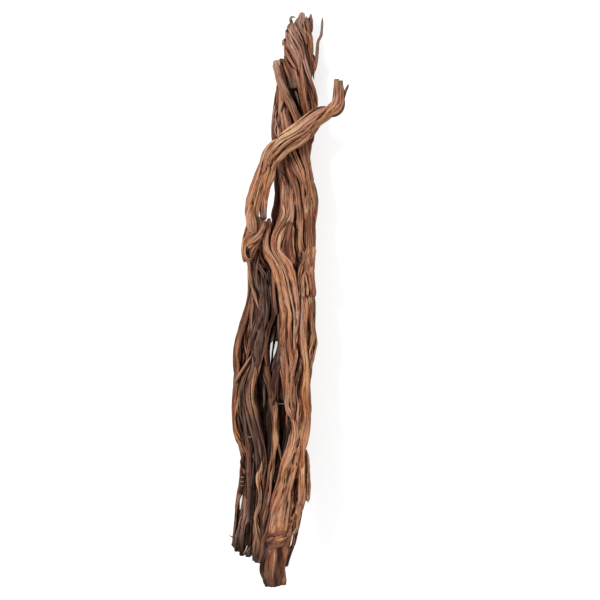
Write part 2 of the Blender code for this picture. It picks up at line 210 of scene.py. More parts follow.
# ------------------------------------------------------------ bark strands
# Strands on the front of the clump: node, colours (a letter, or letters with
# the row where each holds), lift off the stem in mm, how the top and bottom
# end (b broken, c cut, t tapered into the wood), then the two edges on the
# elevation, (v, left u, right u), from the top down.
STRANDS = [
    # the broken top
    ("main_trunk", "V13 N30 M45 N70", 3, "bt", [(16, 299, 304.5), (18.5, 298, 305.5), (22, 294.5, 303.5), (26, 294.5, 303.5), (31, 298, 307), (36, 302, 311.5), (42, 305, 312.5), (50, 306.8, 313), (60, 308.5, 314), (70, 311, 314.5), (80, 312.8, 314.5)]),
    ("main_trunk", "V13 V22", 4, "ct", [(12.8, 299.4, 302.4), (17, 298.6, 302), (22, 297, 301), (28, 297.6, 301.4)]),
    ("main_trunk", "V13 N24", 4.5, "ct", [(12.8, 302, 304.8), (17, 301.8, 305.3), (22, 300.6, 304.6), (28, 301.6, 305.4), (35, 304.6, 308)]),
    ("crown_stem", "V24 V60 M90", 2, "bt", [(24, 289, 293.5), (30, 287, 294.6), (36, 290.5, 298), (42, 293, 301.5), (48, 296, 304), (55, 298.5, 306.3), (60, 301.5, 307.5), (70, 305, 310.6), (80, 309, 313), (90, 312, 316), (100, 315, 318.6), (107, 316.5, 319)]),
    ("crown_stem", "V", 0, "bt", [(24, 291, 295.8), (30, 292.5, 298.8), (36, 295.5, 301.5), (42, 299, 304.5), (48, 302, 306.5)], .066, .070),
    ("main_trunk", "N60 M100", 1, "tt", [(60, 300.6, 302), (66, 300.3, 302.8), (73, 300.6, 305.5), (80, 302, 308.8), (90, 306, 312), (100, 308.7, 315), (108, 309.5, 317.5), (116, 309, 317)]),
    ("main_trunk", "N58 V100", 1, "tt", [(58, 296, 300.5), (65, 297, 299.6), (72, 297.8, 300.4), (78, 299, 302), (84, 299.5, 304.3), (92, 301, 306), (100, 303.5, 308.2), (110, 303.5, 309), (120, 302, 308)]),
    ("crown_stem", "V", 2, "bt", [(33, 285, 291), (40, 286, 293.2), (46, 288.5, 295.8), (52, 291.3, 298), (58, 294, 299.8), (66, 297, 299)]),
    ("crown_stem", "V", 2.5, "bt", [(46, 283.5, 287), (52, 283.5, 289.3), (58, 284.5, 293), (62, 288, 296.3), (66, 291.5, 298), (71, 295, 298.8)]),
    ("crown_stem", "V62 M85", 1, "tt", [(62, 288.5, 292), (70, 290.5, 296.8), (76, 292, 298.6), (82, 294, 299.8), (90, 297, 301), (100, 299, 302.8), (112, 300.5, 303.5)]),
    ("crown_stem", "S", 0, "bt", [(24, 288, 291), (28, 286.5, 289.5), (33, 286, 289)]),
    ("crown_stem", "N60 M70 G80 G88", 0, "cc", [(59, 280.6, 288), (64, 281.6, 290.2), (70, 283.6, 293.2), (76, 285.6, 296), (82, 286.6, 297.4), (88.4, 288, 298)], .054, .058),
    ("crown_stem", "B", 0, "ct", [(58.6, 279.4, 285), (62, 278.8, 285), (66, 279.6, 285), (71, 281, 285.4), (76, 283, 286.4)], .057, .060),
    ("crown_stem", "B", 0, "mm", [(55, 284, 292), (62, 284, 295), (69, 283, 296), (76, 283, 298)], .070, .074),
    ("crown_stem", "D", -9, "tt", [(62, 279, 282), (72, 280.5, 285), (80, 283, 288), (90, 287, 292)]),
    ("crown_stem", "B62 T72 T80 B88", 0, "tt", [(63, 280, 281.4), (70, 281.4, 283.2), (77, 283, 285.2), (84, 285.2, 286.8), (90, 287.4, 288.4)], .051, .053),
    ("main_trunk", "N15 G33", 0, "bt", [(15, 309.8, 312.4), (18, 308.6, 313.3), (23, 308.6, 313.8), (28, 309.4, 313.3), (33, 310.6, 312.9)]),
    ("main_trunk", "N33 N60", 2, "tt", [(32, 309.3, 312.2), (40, 309.6, 312.7), (50, 310, 313.1), (60, 310.8, 313.9), (68, 311.6, 314.4)]),
    ("main_trunk", "B20 B34", -1, "bt", [(18.5, 304.6, 308.6), (24, 304.2, 310), (30, 305.6, 311), (37, 307.4, 312)], .078, .080),
    ("main_trunk", "L", 2, "tt", [(21, 306.8, 308.8), (28, 308.1, 310.4), (35, 310, 312.2)]),
    ("top_twig", "S18 G50 M64", 0, "bt", [(18.5, 321.6, 323.6), (25, 321, 323.6), (31, 320.3, 323), (36, 319, 322.6), (40, 317, 320.4), (46, 316, 319.6), (52, 315.6, 319.4), (58, 314.9, 318.4), (64, 313.6, 317.3), (70, 313, 315.6), (77, 312.8, 314)]),
    ("main_trunk", "M", -2, "tt", [(54, 312, 314), (59, 312, 315.8), (66, 311, 315)]),
    # ribbon strand and what lies beside it
    ("ribbon_stem", "V63 N76 N90 N105 M119", 4, "ct", [(63.5, 272, 278), (68, 272, 278.8), (74, 273.3, 280.5), (80, 275.5, 283), (86, 276.8, 286.5), (92, 280, 290), (98, 284.5, 292.5), (105, 288.2, 296), (112, 291, 298.5), (119, 294, 300.5), (126, 295.5, 302)]),
    ("ribbon_stem", "V60 N78", 4.5, "ct", [(60, 274.2, 280.3), (65, 273.8, 280.3), (72, 275.6, 280.8), (79, 278.2, 282.8), (86, 281.6, 286), (92, 285.4, 289)]),
    ("ribbon_stem", "P", 1, "tt", [(88, 277.5, 280.5), (94, 278.5, 285), (100, 279, 286.5), (106, 278.5, 284), (114, 278, 281.5), (122, 277, 281), (130, 276.5, 281.5), (137, 278, 282)]),
    ("centre_stem", "R100 R120 B136", 0, "tt", [(100, 283, 288), (107, 282.6, 290), (115, 282.6, 290.5), (122, 283.5, 291), (129, 285, 290), (136, 286, 290)]),
    ("centre_stem", "M", 0, "tt", [(98, 286.5, 290), (106, 289, 294), (114, 291.3, 296.5), (122, 294, 299), (130, 296, 301)]),
    ("left_rear_strand", "B", -1, "tt", [(84, 276, 277.8), (94, 275.4, 278.4), (104, 275, 278), (112, 276.5, 279)]),
    ("left_rear_strand", "V", 1, "tt", [(104, 273.8, 278), (112, 272.3, 277), (120, 271.8, 276), (128, 271, 275.5), (135, 271.3, 275.5), (141, 272.5, 277)]),
    ("left_rear_strand", "M88 P120", 0, "mm", [(86, 277.5, 280.5), (98, 276.5, 282), (108, 276, 283), (118, 275.5, 284), (128, 275, 285), (138, 275.5, 286), (146, 276, 284)], .080, .080),
    ("crown_stem", "G", 0, "tt", [(90, 293.5, 297), (100, 296.5, 299.5), (112, 299, 301)]),
    # below the crossing limb
    ("centre_stem", "M148 M165 B185 M205 T230 M255", 1, "tt", [(148, 282.8, 286.4), (154, 283.4, 287.6), (160, 285, 289.8), (168, 287.4, 292.8), (175, 289.3, 295.8), (183, 292, 299), (190, 294.8, 300), (198, 295, 301), (207, 295.5, 302), (216, 296.5, 303.2), (226, 296, 303.3), (236, 295.7, 303.3), (246, 295.5, 303.5), (254, 296.5, 306), (262, 297, 305)]),
    ("winding_stem", "M154 M172 M195 P210 L235 P262 O275 P295 P325", 2, "tt", [(154, 280.6, 282.6), (160, 281.2, 284), (166, 282.4, 286.4), (172, 283.8, 288.2), (178, 285.8, 290), (184, 287.6, 291.6), (191, 288.8, 293.7), (200, 289, 293.3), (210, 288.4, 294), (219, 287.5, 294), (225, 283.5, 293.2), (230, 279.5, 289), (236, 277, 284.5), (243, 276, 282), (250, 276.2, 281.2), (256, 279.5, 286.5), (262, 284.5, 293.5), (270, 287.8, 296), (280, 290.5, 297), (290, 292.5, 298.5), (297, 293.8, 299), (305, 294.5, 300), (315, 295.5, 301), (325, 296, 298.6)]),
    ("winding_stem", "P", 2, "tt", [(154, 277.4, 279.6), (161, 278.4, 281.4), (168, 279.4, 283.2), (178, 280.5, 286), (186, 281.3, 287.5), (196, 281.5, 288), (205, 281.5, 288), (212, 282.8, 287.8), (217, 284, 287)]),
    ("winding_stem", "L", 4, "tt", [(205, 282, 285), (212, 283, 285.7), (217, 281.8, 284.8), (222, 278.2, 281.8), (228, 274.3, 277.8), (235, 271.8, 274.8), (242, 270.7, 273.2), (249, 271.2, 274), (255, 273.5, 277), (262, 278.5, 282), (268, 282, 285.3), (276, 285, 288), (286, 287.5, 290), (296, 289.2, 292), (304, 291, 293.5), (312, 292.7, 295), (325, 293, 295.3), (338, 292.8, 295.2), (350, 293, 296.5)]),
    ("winding_stem", "T", 3, "tt", [(207, 285, 287.8), (215, 285.2, 287.8), (220, 282, 285.6), (226, 278.2, 281.6), (232, 275.3, 278.5), (239, 273.4, 276), (246, 273, 275.3), (252, 274.3, 277), (258, 277.8, 280.7), (264, 282, 284.8)]),
    ("left_rear_strand", "B", 0, "tt", [(172, 278, 281), (180, 278, 281.3), (190, 278, 281.5), (200, 278.5, 282), (208, 280, 283), (215, 279, 283)]),
    ("left_rear_strand", "B", -2, "tt", [(170, 275.2, 278.5), (178, 274.6, 279), (188, 274.3, 279), (200, 274, 279.5), (210, 271.5, 280), (218, 271, 279), (226, 272.5, 276.5)]),
    ("ribbon_stem", "M186 T200 L212 O240", 2, "tt", [(184, 306.6, 308.6), (190, 305.6, 309.4), (197, 304.8, 310), (204, 303.5, 309.3), (213, 304, 309.8), (222, 303.5, 311.3), (231, 304, 312.3), (240, 304.5, 312.5), (248, 306, 313.5), (256, 310, 315.5), (263, 311.8, 315.3), (270, 312.5, 314.3)], .056, .058, .062, .068, .072),
    ("ribbon_stem", "M148 P170 M200", 2, "tt", [(146, 287, 290.4), (152, 287.3, 291), (158, 288.5, 293.6), (164, 290.6, 296.6), (170, 293.2, 299.4), (176, 296.6, 301.6), (183, 299.6, 303), (190, 300.6, 304), (198, 301.2, 305.2), (207, 302, 305)], .048, .050, .054, .058),
    ("ribbon_stem", "M146 T160 O176 M190", 3, "tt", [(143, 290.6, 296), (150, 291.6, 296.6), (156, 293.6, 298.6), (162, 296.4, 301), (168, 299.2, 303.2), (174, 301.2, 304.8), (181, 302.6, 306.2), (188, 304, 307.6), (195, 305.4, 308.6)], .046, .048, .052, .056),
    ("ribbon_stem", "B144 M158 P175 M195", 2, "tt", [(141, 296.6, 302.4), (148, 296.8, 303), (155, 298.6, 304.6), (162, 301.2, 306.8), (169, 303.4, 308.6), (176, 305.2, 310), (184, 306.8, 311), (192, 308.4, 311.6), (200, 309.6, 312.4)], .049, .051, .056, .062),
    ("main_trunk", "B140 R160 M185", 1, "tt", [(136, 303, 309.6), (145, 303.2, 309.8), (153, 304.4, 310), (161, 306.6, 310.6), (170, 308.4, 311.8), (179, 310, 314.4), (187, 311, 315)], .054, .056, .060, .066),
    ("main_trunk", "R124 R142", 0, "tt", [(122, 309, 315), (130, 309.5, 315.5), (136, 309, 314.8), (144, 308.5, 313)], .066, .064),
    ("main_trunk", "B", -1, "tt", [(140, 307, 312), (150, 304, 311), (158, 303.5, 309.5), (166, 305, 308.8), (174, 307.5, 310.8)], .060, .062),
    ("main_trunk", "M172 P188 O205 M234", 1, "tt", [(172, 308.5, 311), (180, 309.6, 313.3), (188, 309.8, 315.3), (197, 309.3, 316.8), (206, 309.3, 317), (214, 311, 315.5), (222, 311.5, 314.5), (234, 312.5, 314.5), (246, 313.3, 315)], .064, .066, .072, .080),
    ("main_trunk", "S182 T207", 0, "tt", [(182, 313, 315), (190, 314.8, 317.2), (198, 316.4, 318.5), (207, 316, 318.5), (215, 315, 317), (222, 313.8, 315.6)], .074, .078),
    ("ribbon_stem", "M145 R170", 0, "mm", [(142, 303, 309.5), (152, 302.5, 308.5), (162, 304, 309), (172, 306.5, 310.5), (182, 308, 311.5)], .070, .070),
    ("centre_stem", "B150 M175", 0, "mm", [(146, 283, 290), (156, 284, 292), (166, 286, 296), (176, 289, 300), (186, 292, 303), (196, 294, 305)], .072, .070),
    # middle: front strands that wind down to the right
    ("front_stem", "~T218 P245 T262 O280 P295 O320 M345", 2, "tt", [(218, 266, 270.5), (225, 264, 272), (232, 263, 271), (240, 261.8, 270), (246, 262.3, 270.5), (252, 264.8, 273.3), (258, 269.3, 277.3), (264, 274.8, 280.7), (270, 278, 283.2), (280, 280, 286.2), (290, 281.7, 288.2), (300, 283.3, 289.7), (308, 286, 291.2), (315, 287.3, 292.7), (325, 286.8, 292.3), (338, 286.7, 292), (350, 287, 292), (358, 288, 292)]),
    ("front_stem", "M", 0, "mm", [(221, 266, 272.6), (230, 265, 273), (240, 264, 272.6), (248, 265, 274)], .044, .044),
    ("front_stem", "R256 O275 T300 O320 M350 R370", 1, "tt", [(256, 262.5, 266), (262, 267, 272), (268, 270.5, 276.5), (275, 272.5, 279), (282, 276.5, 280.2), (290, 278, 281.7), (300, 278.8, 283.2), (308, 280.3, 285.8), (315, 281, 287), (325, 280, 286.5), (336, 279.8, 286.3), (348, 280.5, 286.5), (358, 281.5, 287), (366, 282.5, 287), (375, 283.5, 286.5)]),
    ("front_stem", "R268 M290 D315", 0, "tt", [(268, 271, 273.5), (276, 271.3, 275.5), (284, 271.5, 275.5), (292, 271.8, 276), (300, 272, 276.3), (308, 273, 277.5), (316, 275, 279)]),
    ("front_stem", "B316 D340 D366", 3, "tt", [(314, 277, 280), (326, 276.9, 280.2), (338, 277.2, 281), (350, 277.6, 281.4), (358, 278, 282), (368, 278.6, 283)]),
    ("centre_stem", "T", 2, "tt", [(226, 292, 294.6), (234, 292.4, 294.6), (242, 292.2, 294.5), (250, 292.7, 295.2), (256, 293, 295.7), (264, 293.5, 295.5)], .034, .034, .036),
    ("centre_stem", "M", 0, "tt", [(190, 300.5, 304), (205, 301, 305.5), (220, 301, 305.8), (238, 301, 306), (256, 303, 308)], .056, .060, .064),
    ("centre_stem", "~B224 R238 B246 R258", 2, "mm", [(222, 288, 294), (228, 286, 294), (234, 283.6, 294), (240, 281.8, 294), (247, 280.6, 294), (253, 281.4, 294.4), (259, 285, 294.8), (266, 288.6, 295)], .032, .036, .034, .032),
    ("centre_stem", "B", 2, "tt", [(232, 284.8, 287.6), (240, 282.6, 285.6), (248, 282, 285.2), (256, 284, 287), (262, 287, 289.6)], .031, .033, .031),
    # knotty block on the right, and the smooth trunk under it
    ("broken_stem", "M262 T285", 1, "tb", [(262, 300, 305), (268, 298.5, 303.3), (275, 297, 302), (283, 296.3, 300.8), (290, 297, 300.6), (296, 297.5, 300.8)]),
    ("broken_stem", "T256 M275 T290", 3, "tb", [(254, 303, 308), (262, 305, 311), (268, 303.8, 309.5), (274, 302.3, 306.3), (280, 301.3, 305.2), (288, 300.8, 305), (296.5, 301, 305)]),
    ("broken_stem", "O262 R290", 1, "tb", [(262, 307, 312.5), (268, 306.5, 313.3), (275, 306.5, 313.8), (282, 307.2, 315.3), (289, 307.5, 316.5), (295.8, 308, 316.6)]),
    ("broken_stem", "T", 1, "tb", [(272, 304, 306.5), (280, 304.8, 308), (288, 306.3, 309), (295, 306, 309)]),
    ("broken_stem", "T", 1, "tt", [(246, 310.5, 315), (251, 311.3, 316.8), (256, 311.5, 316.2), (260, 312.3, 315.4)]),
    ("main_trunk", "~O297 O330 T355 O380 O410 T425 O445 O460", 3, "tt", [(294, 300, 309), (300, 299.8, 309.8), (307, 300, 310.2), (315, 300.2, 310), (323, 300.3, 308.6), (331, 300.3, 307.4), (338, 300, 307.2), (345, 300, 307.3), (353, 301, 308), (362, 302.8, 309), (372, 302.8, 309.5), (382, 301.5, 309.5), (392, 300.6, 309.8), (402, 301.8, 309.8), (412, 302.6, 310.3), (422, 302.5, 310.4), (430, 301, 310.3), (437, 300.5, 308.5), (445, 300.3, 306.5), (455, 300.3, 305.3), (465, 299.3, 305.2), (475, 299, 305)], .046, .047, .048, .046, .037, .031),
    ("main_trunk", "~P296 V316 P334 M352", 2, "tt", [(292, 298.8, 303.6), (302, 298.8, 303.8), (312, 299, 303.8), (322, 299.2, 303.6), (331, 299.2, 303.4), (340, 299.4, 303.2), (349, 299.6, 303.4), (356, 300.4, 303.2)], .046, .047, .048, .049),
    ("main_trunk", "T297 M340 M380", 0, "mm", [(292, 300, 312), (305, 300, 312.5), (320, 299.5, 313), (335, 299, 314), (350, 299, 313.5), (362, 300, 311.5), (375, 300, 310), (390, 299.5, 309.5)], .052, .053, .055, .053),
    ("main_trunk", "P", 2, "tt", [(298, 303.4, 305.4), (308, 303.6, 305.2), (318, 304.2, 305.8), (328, 304.4, 305.8), (338, 303.8, 305.2)], .043, .045),
    ("main_trunk", "O305 T345", 1, "tt", [(304, 309.4, 311.8), (312, 309.4, 312.6), (320, 309.8, 313.6), (330, 310.3, 315), (338, 310.3, 316), (345, 309.5, 314.5), (352, 308, 312), (360, 308.5, 311.5)], .050, .050, .052),
    ("main_trunk", "S296 W307 L328 T348", 1, "tt", [(296, 312, 315.8), (303, 313.8, 316), (312, 314.1, 316), (320, 313.6, 315.8), (328, 314, 316), (336, 315, 317), (344, 314.5, 317.5), (351, 312.3, 316.3), (358, 311, 315.2), (365, 310, 312.8), (370, 309, 310.8)]),
    ("main_trunk", "M", 0, "mm", [(316, 310.5, 314.8), (328, 311, 315), (342, 310.6, 315.6), (352, 309, 314.6), (362, 307.6, 312)], .084, .080),
    ("main_trunk", "P", 2, "tt", [(338, 295.3, 299), (345, 296.5, 301), (351, 298.8, 302.5), (358, 300.8, 303.5)]),
    ("main_trunk", "L353 L385 P410", 3, "tt", [(350, 299, 301), (360, 298.8, 303), (368, 297, 302.3), (376, 295, 300.6), (384, 293.5, 298.6), (392, 293, 298), (400, 295.3, 299.5), (408, 296, 300.5), (416, 296, 299.6), (424, 296.5, 299.3), (430, 297, 299)]),
    ("main_trunk", "~P404 T430 T460 O480 P510", 2, "tt", [(404, 286.5, 291), (411, 288.5, 296), (418, 290, 296.5), (425, 291, 298), (433, 291, 300), (441, 290.4, 298.5), (449, 289, 296.5), (457, 286, 294.5), (464, 282.7, 292.3), (471, 281, 290.3), (479, 280.2, 288.8), (487, 280, 288), (495, 276.5, 286.5), (502, 273, 284.3), (510, 270.7, 281.7), (518, 270, 279.2), (526, 267.8, 277), (534, 266, 275)]),
    # painted shade: a near-black strand on the trunk where it lies in shade
    ("main_trunk", "K", 1, "tt", [(414, 286.6, 288.6), (422, 286.8, 290), (430, 286.6, 290.4), (438, 286, 289.8), (446, 284.8, 288.6), (452, 283.8, 287)], .062, .064, .066),
    ("main_trunk", "~T432 O460 T490 P510 O530", 2, "tt", [(428, 298, 303), (435, 298.2, 303), (441, 297.5, 302), (449, 296, 301.3), (457, 294.3, 300.2), (464, 292.3, 299.3), (471, 290.2, 297), (479, 288.8, 294.8), (487, 288, 292.5), (495, 286.7, 291), (503, 285, 290.7), (511, 282.3, 289.7), (519, 280.8, 288.7), (527, 280, 288), (535, 278.5, 287)]),
    ("right_branch", "~O452 L470 O485 P500 R507", 4, "tt", [(448, 300.3, 306), (455, 300.3, 305.3), (465, 299.3, 305.2), (475, 299, 305), (485, 298.2, 305.6), (495, 298, 306), (502, 297, 305), (508, 296, 303)]),
    ("right_branch", "R503 O515 T528", 1, "tt", [(500, 294, 303), (508, 292.5, 302), (515, 291, 301), (522, 290, 300.4), (529, 289.5, 299.8), (535, 288, 297)]),
    ("right_branch", "P449 T470 T488 M501", 2, "tb", [(449, 306, 307.2), (457, 306.4, 309.2), (466, 306.4, 310), (476, 306.2, 310.3), (484, 306, 310.5), (492, 305.9, 310.7), (501, 305.6, 310.3)], .038, .041, .045),
    ("right_branch", "R503 O512", 5, "bb", [(501, 295.5, 303.2), (506, 294, 303.2), (511, 293, 302), (516, 292.4, 300.4)]),
    ("right_branch", "O513 T526", 4, "tb", [(511, 296, 301.8), (517, 295.2, 301.2), (523, 294.6, 300), (529, 294.6, 298.8)]),
    ("right_branch", "T518 P528 R534", 6, "bb", [(517, 289.6, 296.2), (522, 289.8, 296.6), (528, 289, 296), (535, 287.6, 293.6)]),
    ("thin_right_foot", "M449 R470 M495 D508 K530", 0, "tf", [(449, 305.8, 307.3), (457, 306.8, 308.8), (464, 307.2, 310.3), (472, 306.5, 310.2), (480, 306.5, 310.7), (490, 307, 310.8), (496, 304.6, 308.4), (501, 301.6, 305), (507, 300, 303.2), (515, 299.2, 302.2), (525, 297.6, 300.3), (533, 295.4, 298.2), (541, 292.3, 295.6), (547, 289.6, 293), (555, 286, 291), (562, 285, 288.6), (567, 284.3, 286.5)]),
    ("right_branch", "L", 1, "tt", [(522, 297, 299.6), (529, 293.4, 296.8), (536, 289.8, 292.8), (543, 287.6, 289.8)]),
    # winding stem, low part
    ("winding_stem", "T350 O372 T396 P415", 1, "tt", [(350, 287.5, 291.5), (358, 288, 292), (365, 289, 292.8), (372, 287.5, 290.3), (380, 286.5, 289.3), (388, 286, 290), (396, 285.3, 290), (404, 284.8, 289.5), (411, 285.5, 292), (418, 288.5, 296)]),
    ("winding_stem", "O", 0, "tt", [(345, 289.5, 292), (352, 289.5, 292), (360, 290.5, 293), (367, 291.2, 293.6), (374, 291, 293.6), (382, 290, 292.8), (392, 290.2, 292.4), (400, 290.2, 292.3)]),
    ("winding_stem", "P", 1, "tt", [(348, 294, 298.3), (357, 294, 298.3), (364, 292.5, 296.8), (371, 291.8, 295.3), (377, 291.3, 294)]),
    # left side, from the loop down
    ("left_outer_stem", "T262 T309", 7, "tt", [(256, 248.6, 250.2), (262, 248, 250.2), (268, 247.3, 250.6), (276, 247.6, 251.3), (283, 249.2, 253.2), (290, 251, 255.5), (298, 253.8, 257.8), (304, 256, 259), (309, 257.8, 259.6)], .072, .074, .078, .086),
    ("left_middle_stem", "G", 2, "tt", [(248, 251.5, 256), (255, 252, 258), (262, 254.5, 260.8), (268, 258, 263.5), (275, 262, 267.5), (283, 264, 269.5)], .056, .064, .072, .080),
    ("left_middle_stem", "D260 D300 G335 D350", 1, "tt", [(260, 249.5, 254.5), (267, 251.5, 257.5), (274, 254, 259.5), (282, 255.5, 261), (290, 256.5, 261.5), (298, 259, 262.5), (306, 259.8, 263.5), (314, 257, 263.5), (322, 253, 260.5), (330, 250.3, 256.5), (340, 248.8, 253.3), (352, 247.5, 252)]),
    ("left_front_stem", "D276 D310 G335 D366", 2, "tt", [(276, 262, 266), (284, 263, 268.5), (292, 264.3, 270.5), (300, 265.8, 271), (308, 266, 270), (316, 263.8, 269), (324, 260.5, 266.5), (332, 257.8, 263.8), (340, 255.3, 262), (350, 254, 262), (358, 254.5, 261.5), (366, 256, 261)]),
    ("left_inner_stem", "G262 D320 B340 R365", 1, "tt", [(262, 264, 268), (268, 266.5, 270.5), (276, 267.5, 271.3), (286, 268.5, 271.8), (296, 269.8, 273), (306, 270, 275.5), (314, 269.5, 277), (320, 268.5, 275.5), (328, 266.3, 272.3), (336, 264.7, 271), (343, 263.8, 269), (350, 263.7, 268.3), (358, 264.3, 268.5), (366, 265.5, 269)], .066, .074, .084, .096, .104),
    ("left_front_stem", "B246 B270", 0, "tt", [(246, 256.5, 259.5), (254, 258.3, 261), (260, 260.5, 264.5), (265, 264, 268), (270, 267, 270.5)], .046, .058),
    ("left_outer_stem", "D292 R305 B322 M345 O370 O400 M418 O435 O450 M462 N490 V508 G533 K548", 1, "tf", [(290, 250, 252.2), (300, 248.5, 255), (307, 246.5, 253.5), (314, 245, 250.5), (322, 242, 247.5), (330, 239.3, 244), (338, 236.8, 241.8), (346, 234.7, 241), (354, 234.6, 240), (362, 235.5, 240.3), (370, 236.3, 241.5), (377, 236.5, 240.5), (384, 234.8, 241), (391, 234.6, 240.5), (399, 234, 239.5), (408, 233.8, 237.8), (416, 233.3, 236.3), (424, 233.4, 236.8), (431, 233.5, 239), (438, 235.6, 243), (445, 239.2, 246.8), (452, 243, 248.5), (458, 246, 251), (465, 246.3, 250.5), (473, 245.7, 250), (481, 246, 250), (489, 245.5, 249), (498, 243.5, 248.8), (507, 242.3, 248.3), (515, 240.8, 245.5), (523, 238.2, 243.5), (531, 236, 242), (538, 234.5, 239.5), (552, 234, 240)]),
    ("left_outer_stem", "B312 B335 R355", 0, "tt", [(312, 250, 256), (320, 247.3, 253.5), (328, 244, 249.5), (336, 243, 248.6), (344, 244, 249.8), (351, 244.5, 250), (358, 246, 250.5)]),
    ("left_outer_stem", "R", -7, "tt", [(350, 239.5, 245), (358, 239.5, 246), (366, 239.5, 243.5)]),
    ("left_middle_stem", "T366 M380 G395 G416 G432 M446", 2, "tt", [(364, 249.5, 252.3), (372, 245.6, 249.6), (378, 242.5, 247.3), (384, 240.5, 245.5), (392, 240.3, 244.8), (400, 240.3, 244.8), (408, 240.2, 245), (416, 241.8, 247), (424, 243, 248.2), (432, 244.5, 249), (440, 246, 250), (450, 247.3, 250.5)]),
    ("left_outer_stem", "L", 1, "tt", [(384, 238.5, 240.4), (392, 238.8, 240.8), (400, 237.2, 239.8), (406, 236.5, 239), (411, 237.2, 239.7), (417, 239, 241.6)]),
    ("left_outer_stem", "G", 0, "tt", [(414, 235.8, 239), (424, 238, 241), (432, 240.6, 243.4), (440, 243, 245.8)]),
    ("left_front_stem", "G358 G375 N390 M410 G430 G450", 3, "tt", [(356, 251.3, 254), (366, 251.5, 255.3), (374, 250.3, 254.5), (382, 247.6, 251.3), (390, 246.3, 250.3), (399, 246.3, 250.8), (407, 247.6, 252), (414, 249.5, 253.2), (422, 251.2, 255), (430, 253.6, 257), (438, 255.8, 259), (446, 257.6, 261), (454, 258.8, 262), (460, 259.5, 262.5)]),
    ("left_front_stem", "M366 T388 T402 G420 D435 G455 G466 M480 B505", 2, "tt", [(366, 252.5, 256.5), (374, 252.3, 257), (382, 251, 256), (389, 250.6, 254.6), (396, 251, 253.6), (403, 251.8, 255), (410, 253.5, 257), (418, 255, 258.6), (426, 256.5, 261), (434, 258, 263.5), (442, 260.2, 265.3), (450, 261.3, 267), (458, 262.5, 268.6), (466, 262.5, 268.8), (474, 262.5, 266), (484, 262, 265), (494, 262.5, 265), (503, 262.3, 264.5), (511, 259.5, 262.5), (519, 258.5, 261)]),
    ("left_front_stem", "L463 L476 L500 L522 T540 D555", 6, "tf", [(461, 260.5, 263.6), (468, 258.5, 263.8), (474, 256.2, 262.6), (481, 255.9, 262), (489, 257.6, 262), (497, 258.5, 262.6), (504, 257, 262), (511, 254.7, 260.3), (518, 252.8, 259), (526, 252.6, 260.5), (534, 252.8, 262), (542, 252, 261.5), (550, 251.8, 260.8), (557, 253, 261.3), (570, 254, 261)]),
    ("left_inner_stem", "B398 M408 T416 T445 M460 P480 P505 G530", 3, "tt", [(398, 271.5, 277.5), (406, 272, 278.5), (414, 272.7, 278.5), (422, 272.8, 278), (430, 272.6, 278.6), (438, 273, 279.3), (444, 273, 278.6), (449, 272.8, 276.8), (456, 272.2, 276), (463, 272, 275.3), (469, 271.3, 275), (475, 269.6, 274), (482, 269, 272.6), (490, 268.3, 272), (498, 266.3, 271.5), (506, 264.8, 270), (514, 262.8, 268.3), (522, 261.7, 266), (530, 262, 264.5), (538, 263, 265)]),
    ("left_inner_stem", "T", 3, "tt", [(438, 275, 279.4), (444, 276, 280.2), (450, 277.3, 281.6), (456, 279.2, 282.8), (461, 280.4, 283.8), (467, 280, 282.6)]),
    ("left_inner_stem", "D456 R465 G476", -1, "tt", [(456, 276.5, 279.5), (463, 276, 279.5), (469, 275, 278), (476, 273.5, 276.5), (484, 273, 276)]),
    ("left_middle_stem", "D432 D530 K545", -6, "tf", [(432, 249, 254.5), (440, 250, 256), (450, 250.5, 257), (460, 251, 258), (470, 250.5, 257), (480, 250, 256.5), (490, 249.5, 256), (500, 249.5, 256.5), (510, 249, 255), (520, 247.5, 253.5), (530, 245.5, 252), (540, 245, 251), (556, 246, 252)]),
    ("left_middle_stem", "G", -2, "tt", [(460, 252, 255.5), (470, 251.5, 254.8), (478, 250.5, 253.5), (488, 249.5, 252.5)]),
    ("left_middle_stem", "N500 V520 G534 K548", 1, "tf", [(498, 244, 249), (508, 243, 249), (516, 243, 249.5), (524, 241, 248), (532, 240, 246.5), (539, 239.5, 246), (556, 238.5, 245)]),
    ("left_middle_stem", "K", 3, "tf", [(520, 247.2, 250), (528, 246, 250.8), (536, 245.4, 251), (546, 245.4, 251), (558, 246, 251)]),
    ("left_thin_shoot", "B454 B460 G468 G480", 1, "tt", [(453.5, 243.4, 245.3), (458, 240.8, 245.5), (463, 240.5, 245.6), (468, 242, 246), (474, 242.8, 246.3)]),
    ("left_thin_shoot", "K", 0, "mm", [(509.5, 236.5, 243.5), (520, 236.5, 242.5), (530, 235.5, 241), (541, 234.5, 240)], .262, .276),
    ("left_thin_shoot", "G474 D490 T498 G515 P528 K546", 1, "tf", [(473, 240.2, 245), (479, 240.3, 245), (486, 239.7, 245), (492, 238.4, 244.2), (496.5, 237, 241.6), (506, 236, 239.2), (514, 235.3, 238.2), (522, 234.6, 237.4), (530, 233.7, 236.5), (538, 232.8, 236), (550, 232.8, 235.8)]),
    ("left_inner_stem", "G", -9, "tt", [(383, 263.2, 266.2), (392, 263.3, 266.3), (400, 263.3, 266), (408, 262.8, 265)]),
    ("left_inner_stem", "B366 M380 B397", -1, "tt", [(362, 262.5, 268), (374, 264.8, 271), (382, 268, 273.5), (390, 271.5, 275.8), (397, 274, 278)]),
    ("left_inner_stem", "D", -3, "tt", [(372, 261.5, 263.8), (380, 263.5, 266), (388, 266, 268.5), (396, 268.5, 271)]),
    # painted shade: the near-black strands of the inner stem and the rear left stem below stand in the shaded hollow
    # between the left bundle and the trunk
    ("inner_stem", "K345 D370", 2, "tt", [(345, 277, 280), (352, 277, 280.5), (360, 276, 281), (368, 275.8, 281), (376, 276.5, 282.5), (384, 277.5, 283.5), (392, 278.3, 284.5), (402, 279, 285)]),
    ("inner_stem", "B366 D390", 2, "tt", [(366, 281, 286), (376, 282.5, 286.5), (386, 283, 286.5), (398, 283.5, 286)]),
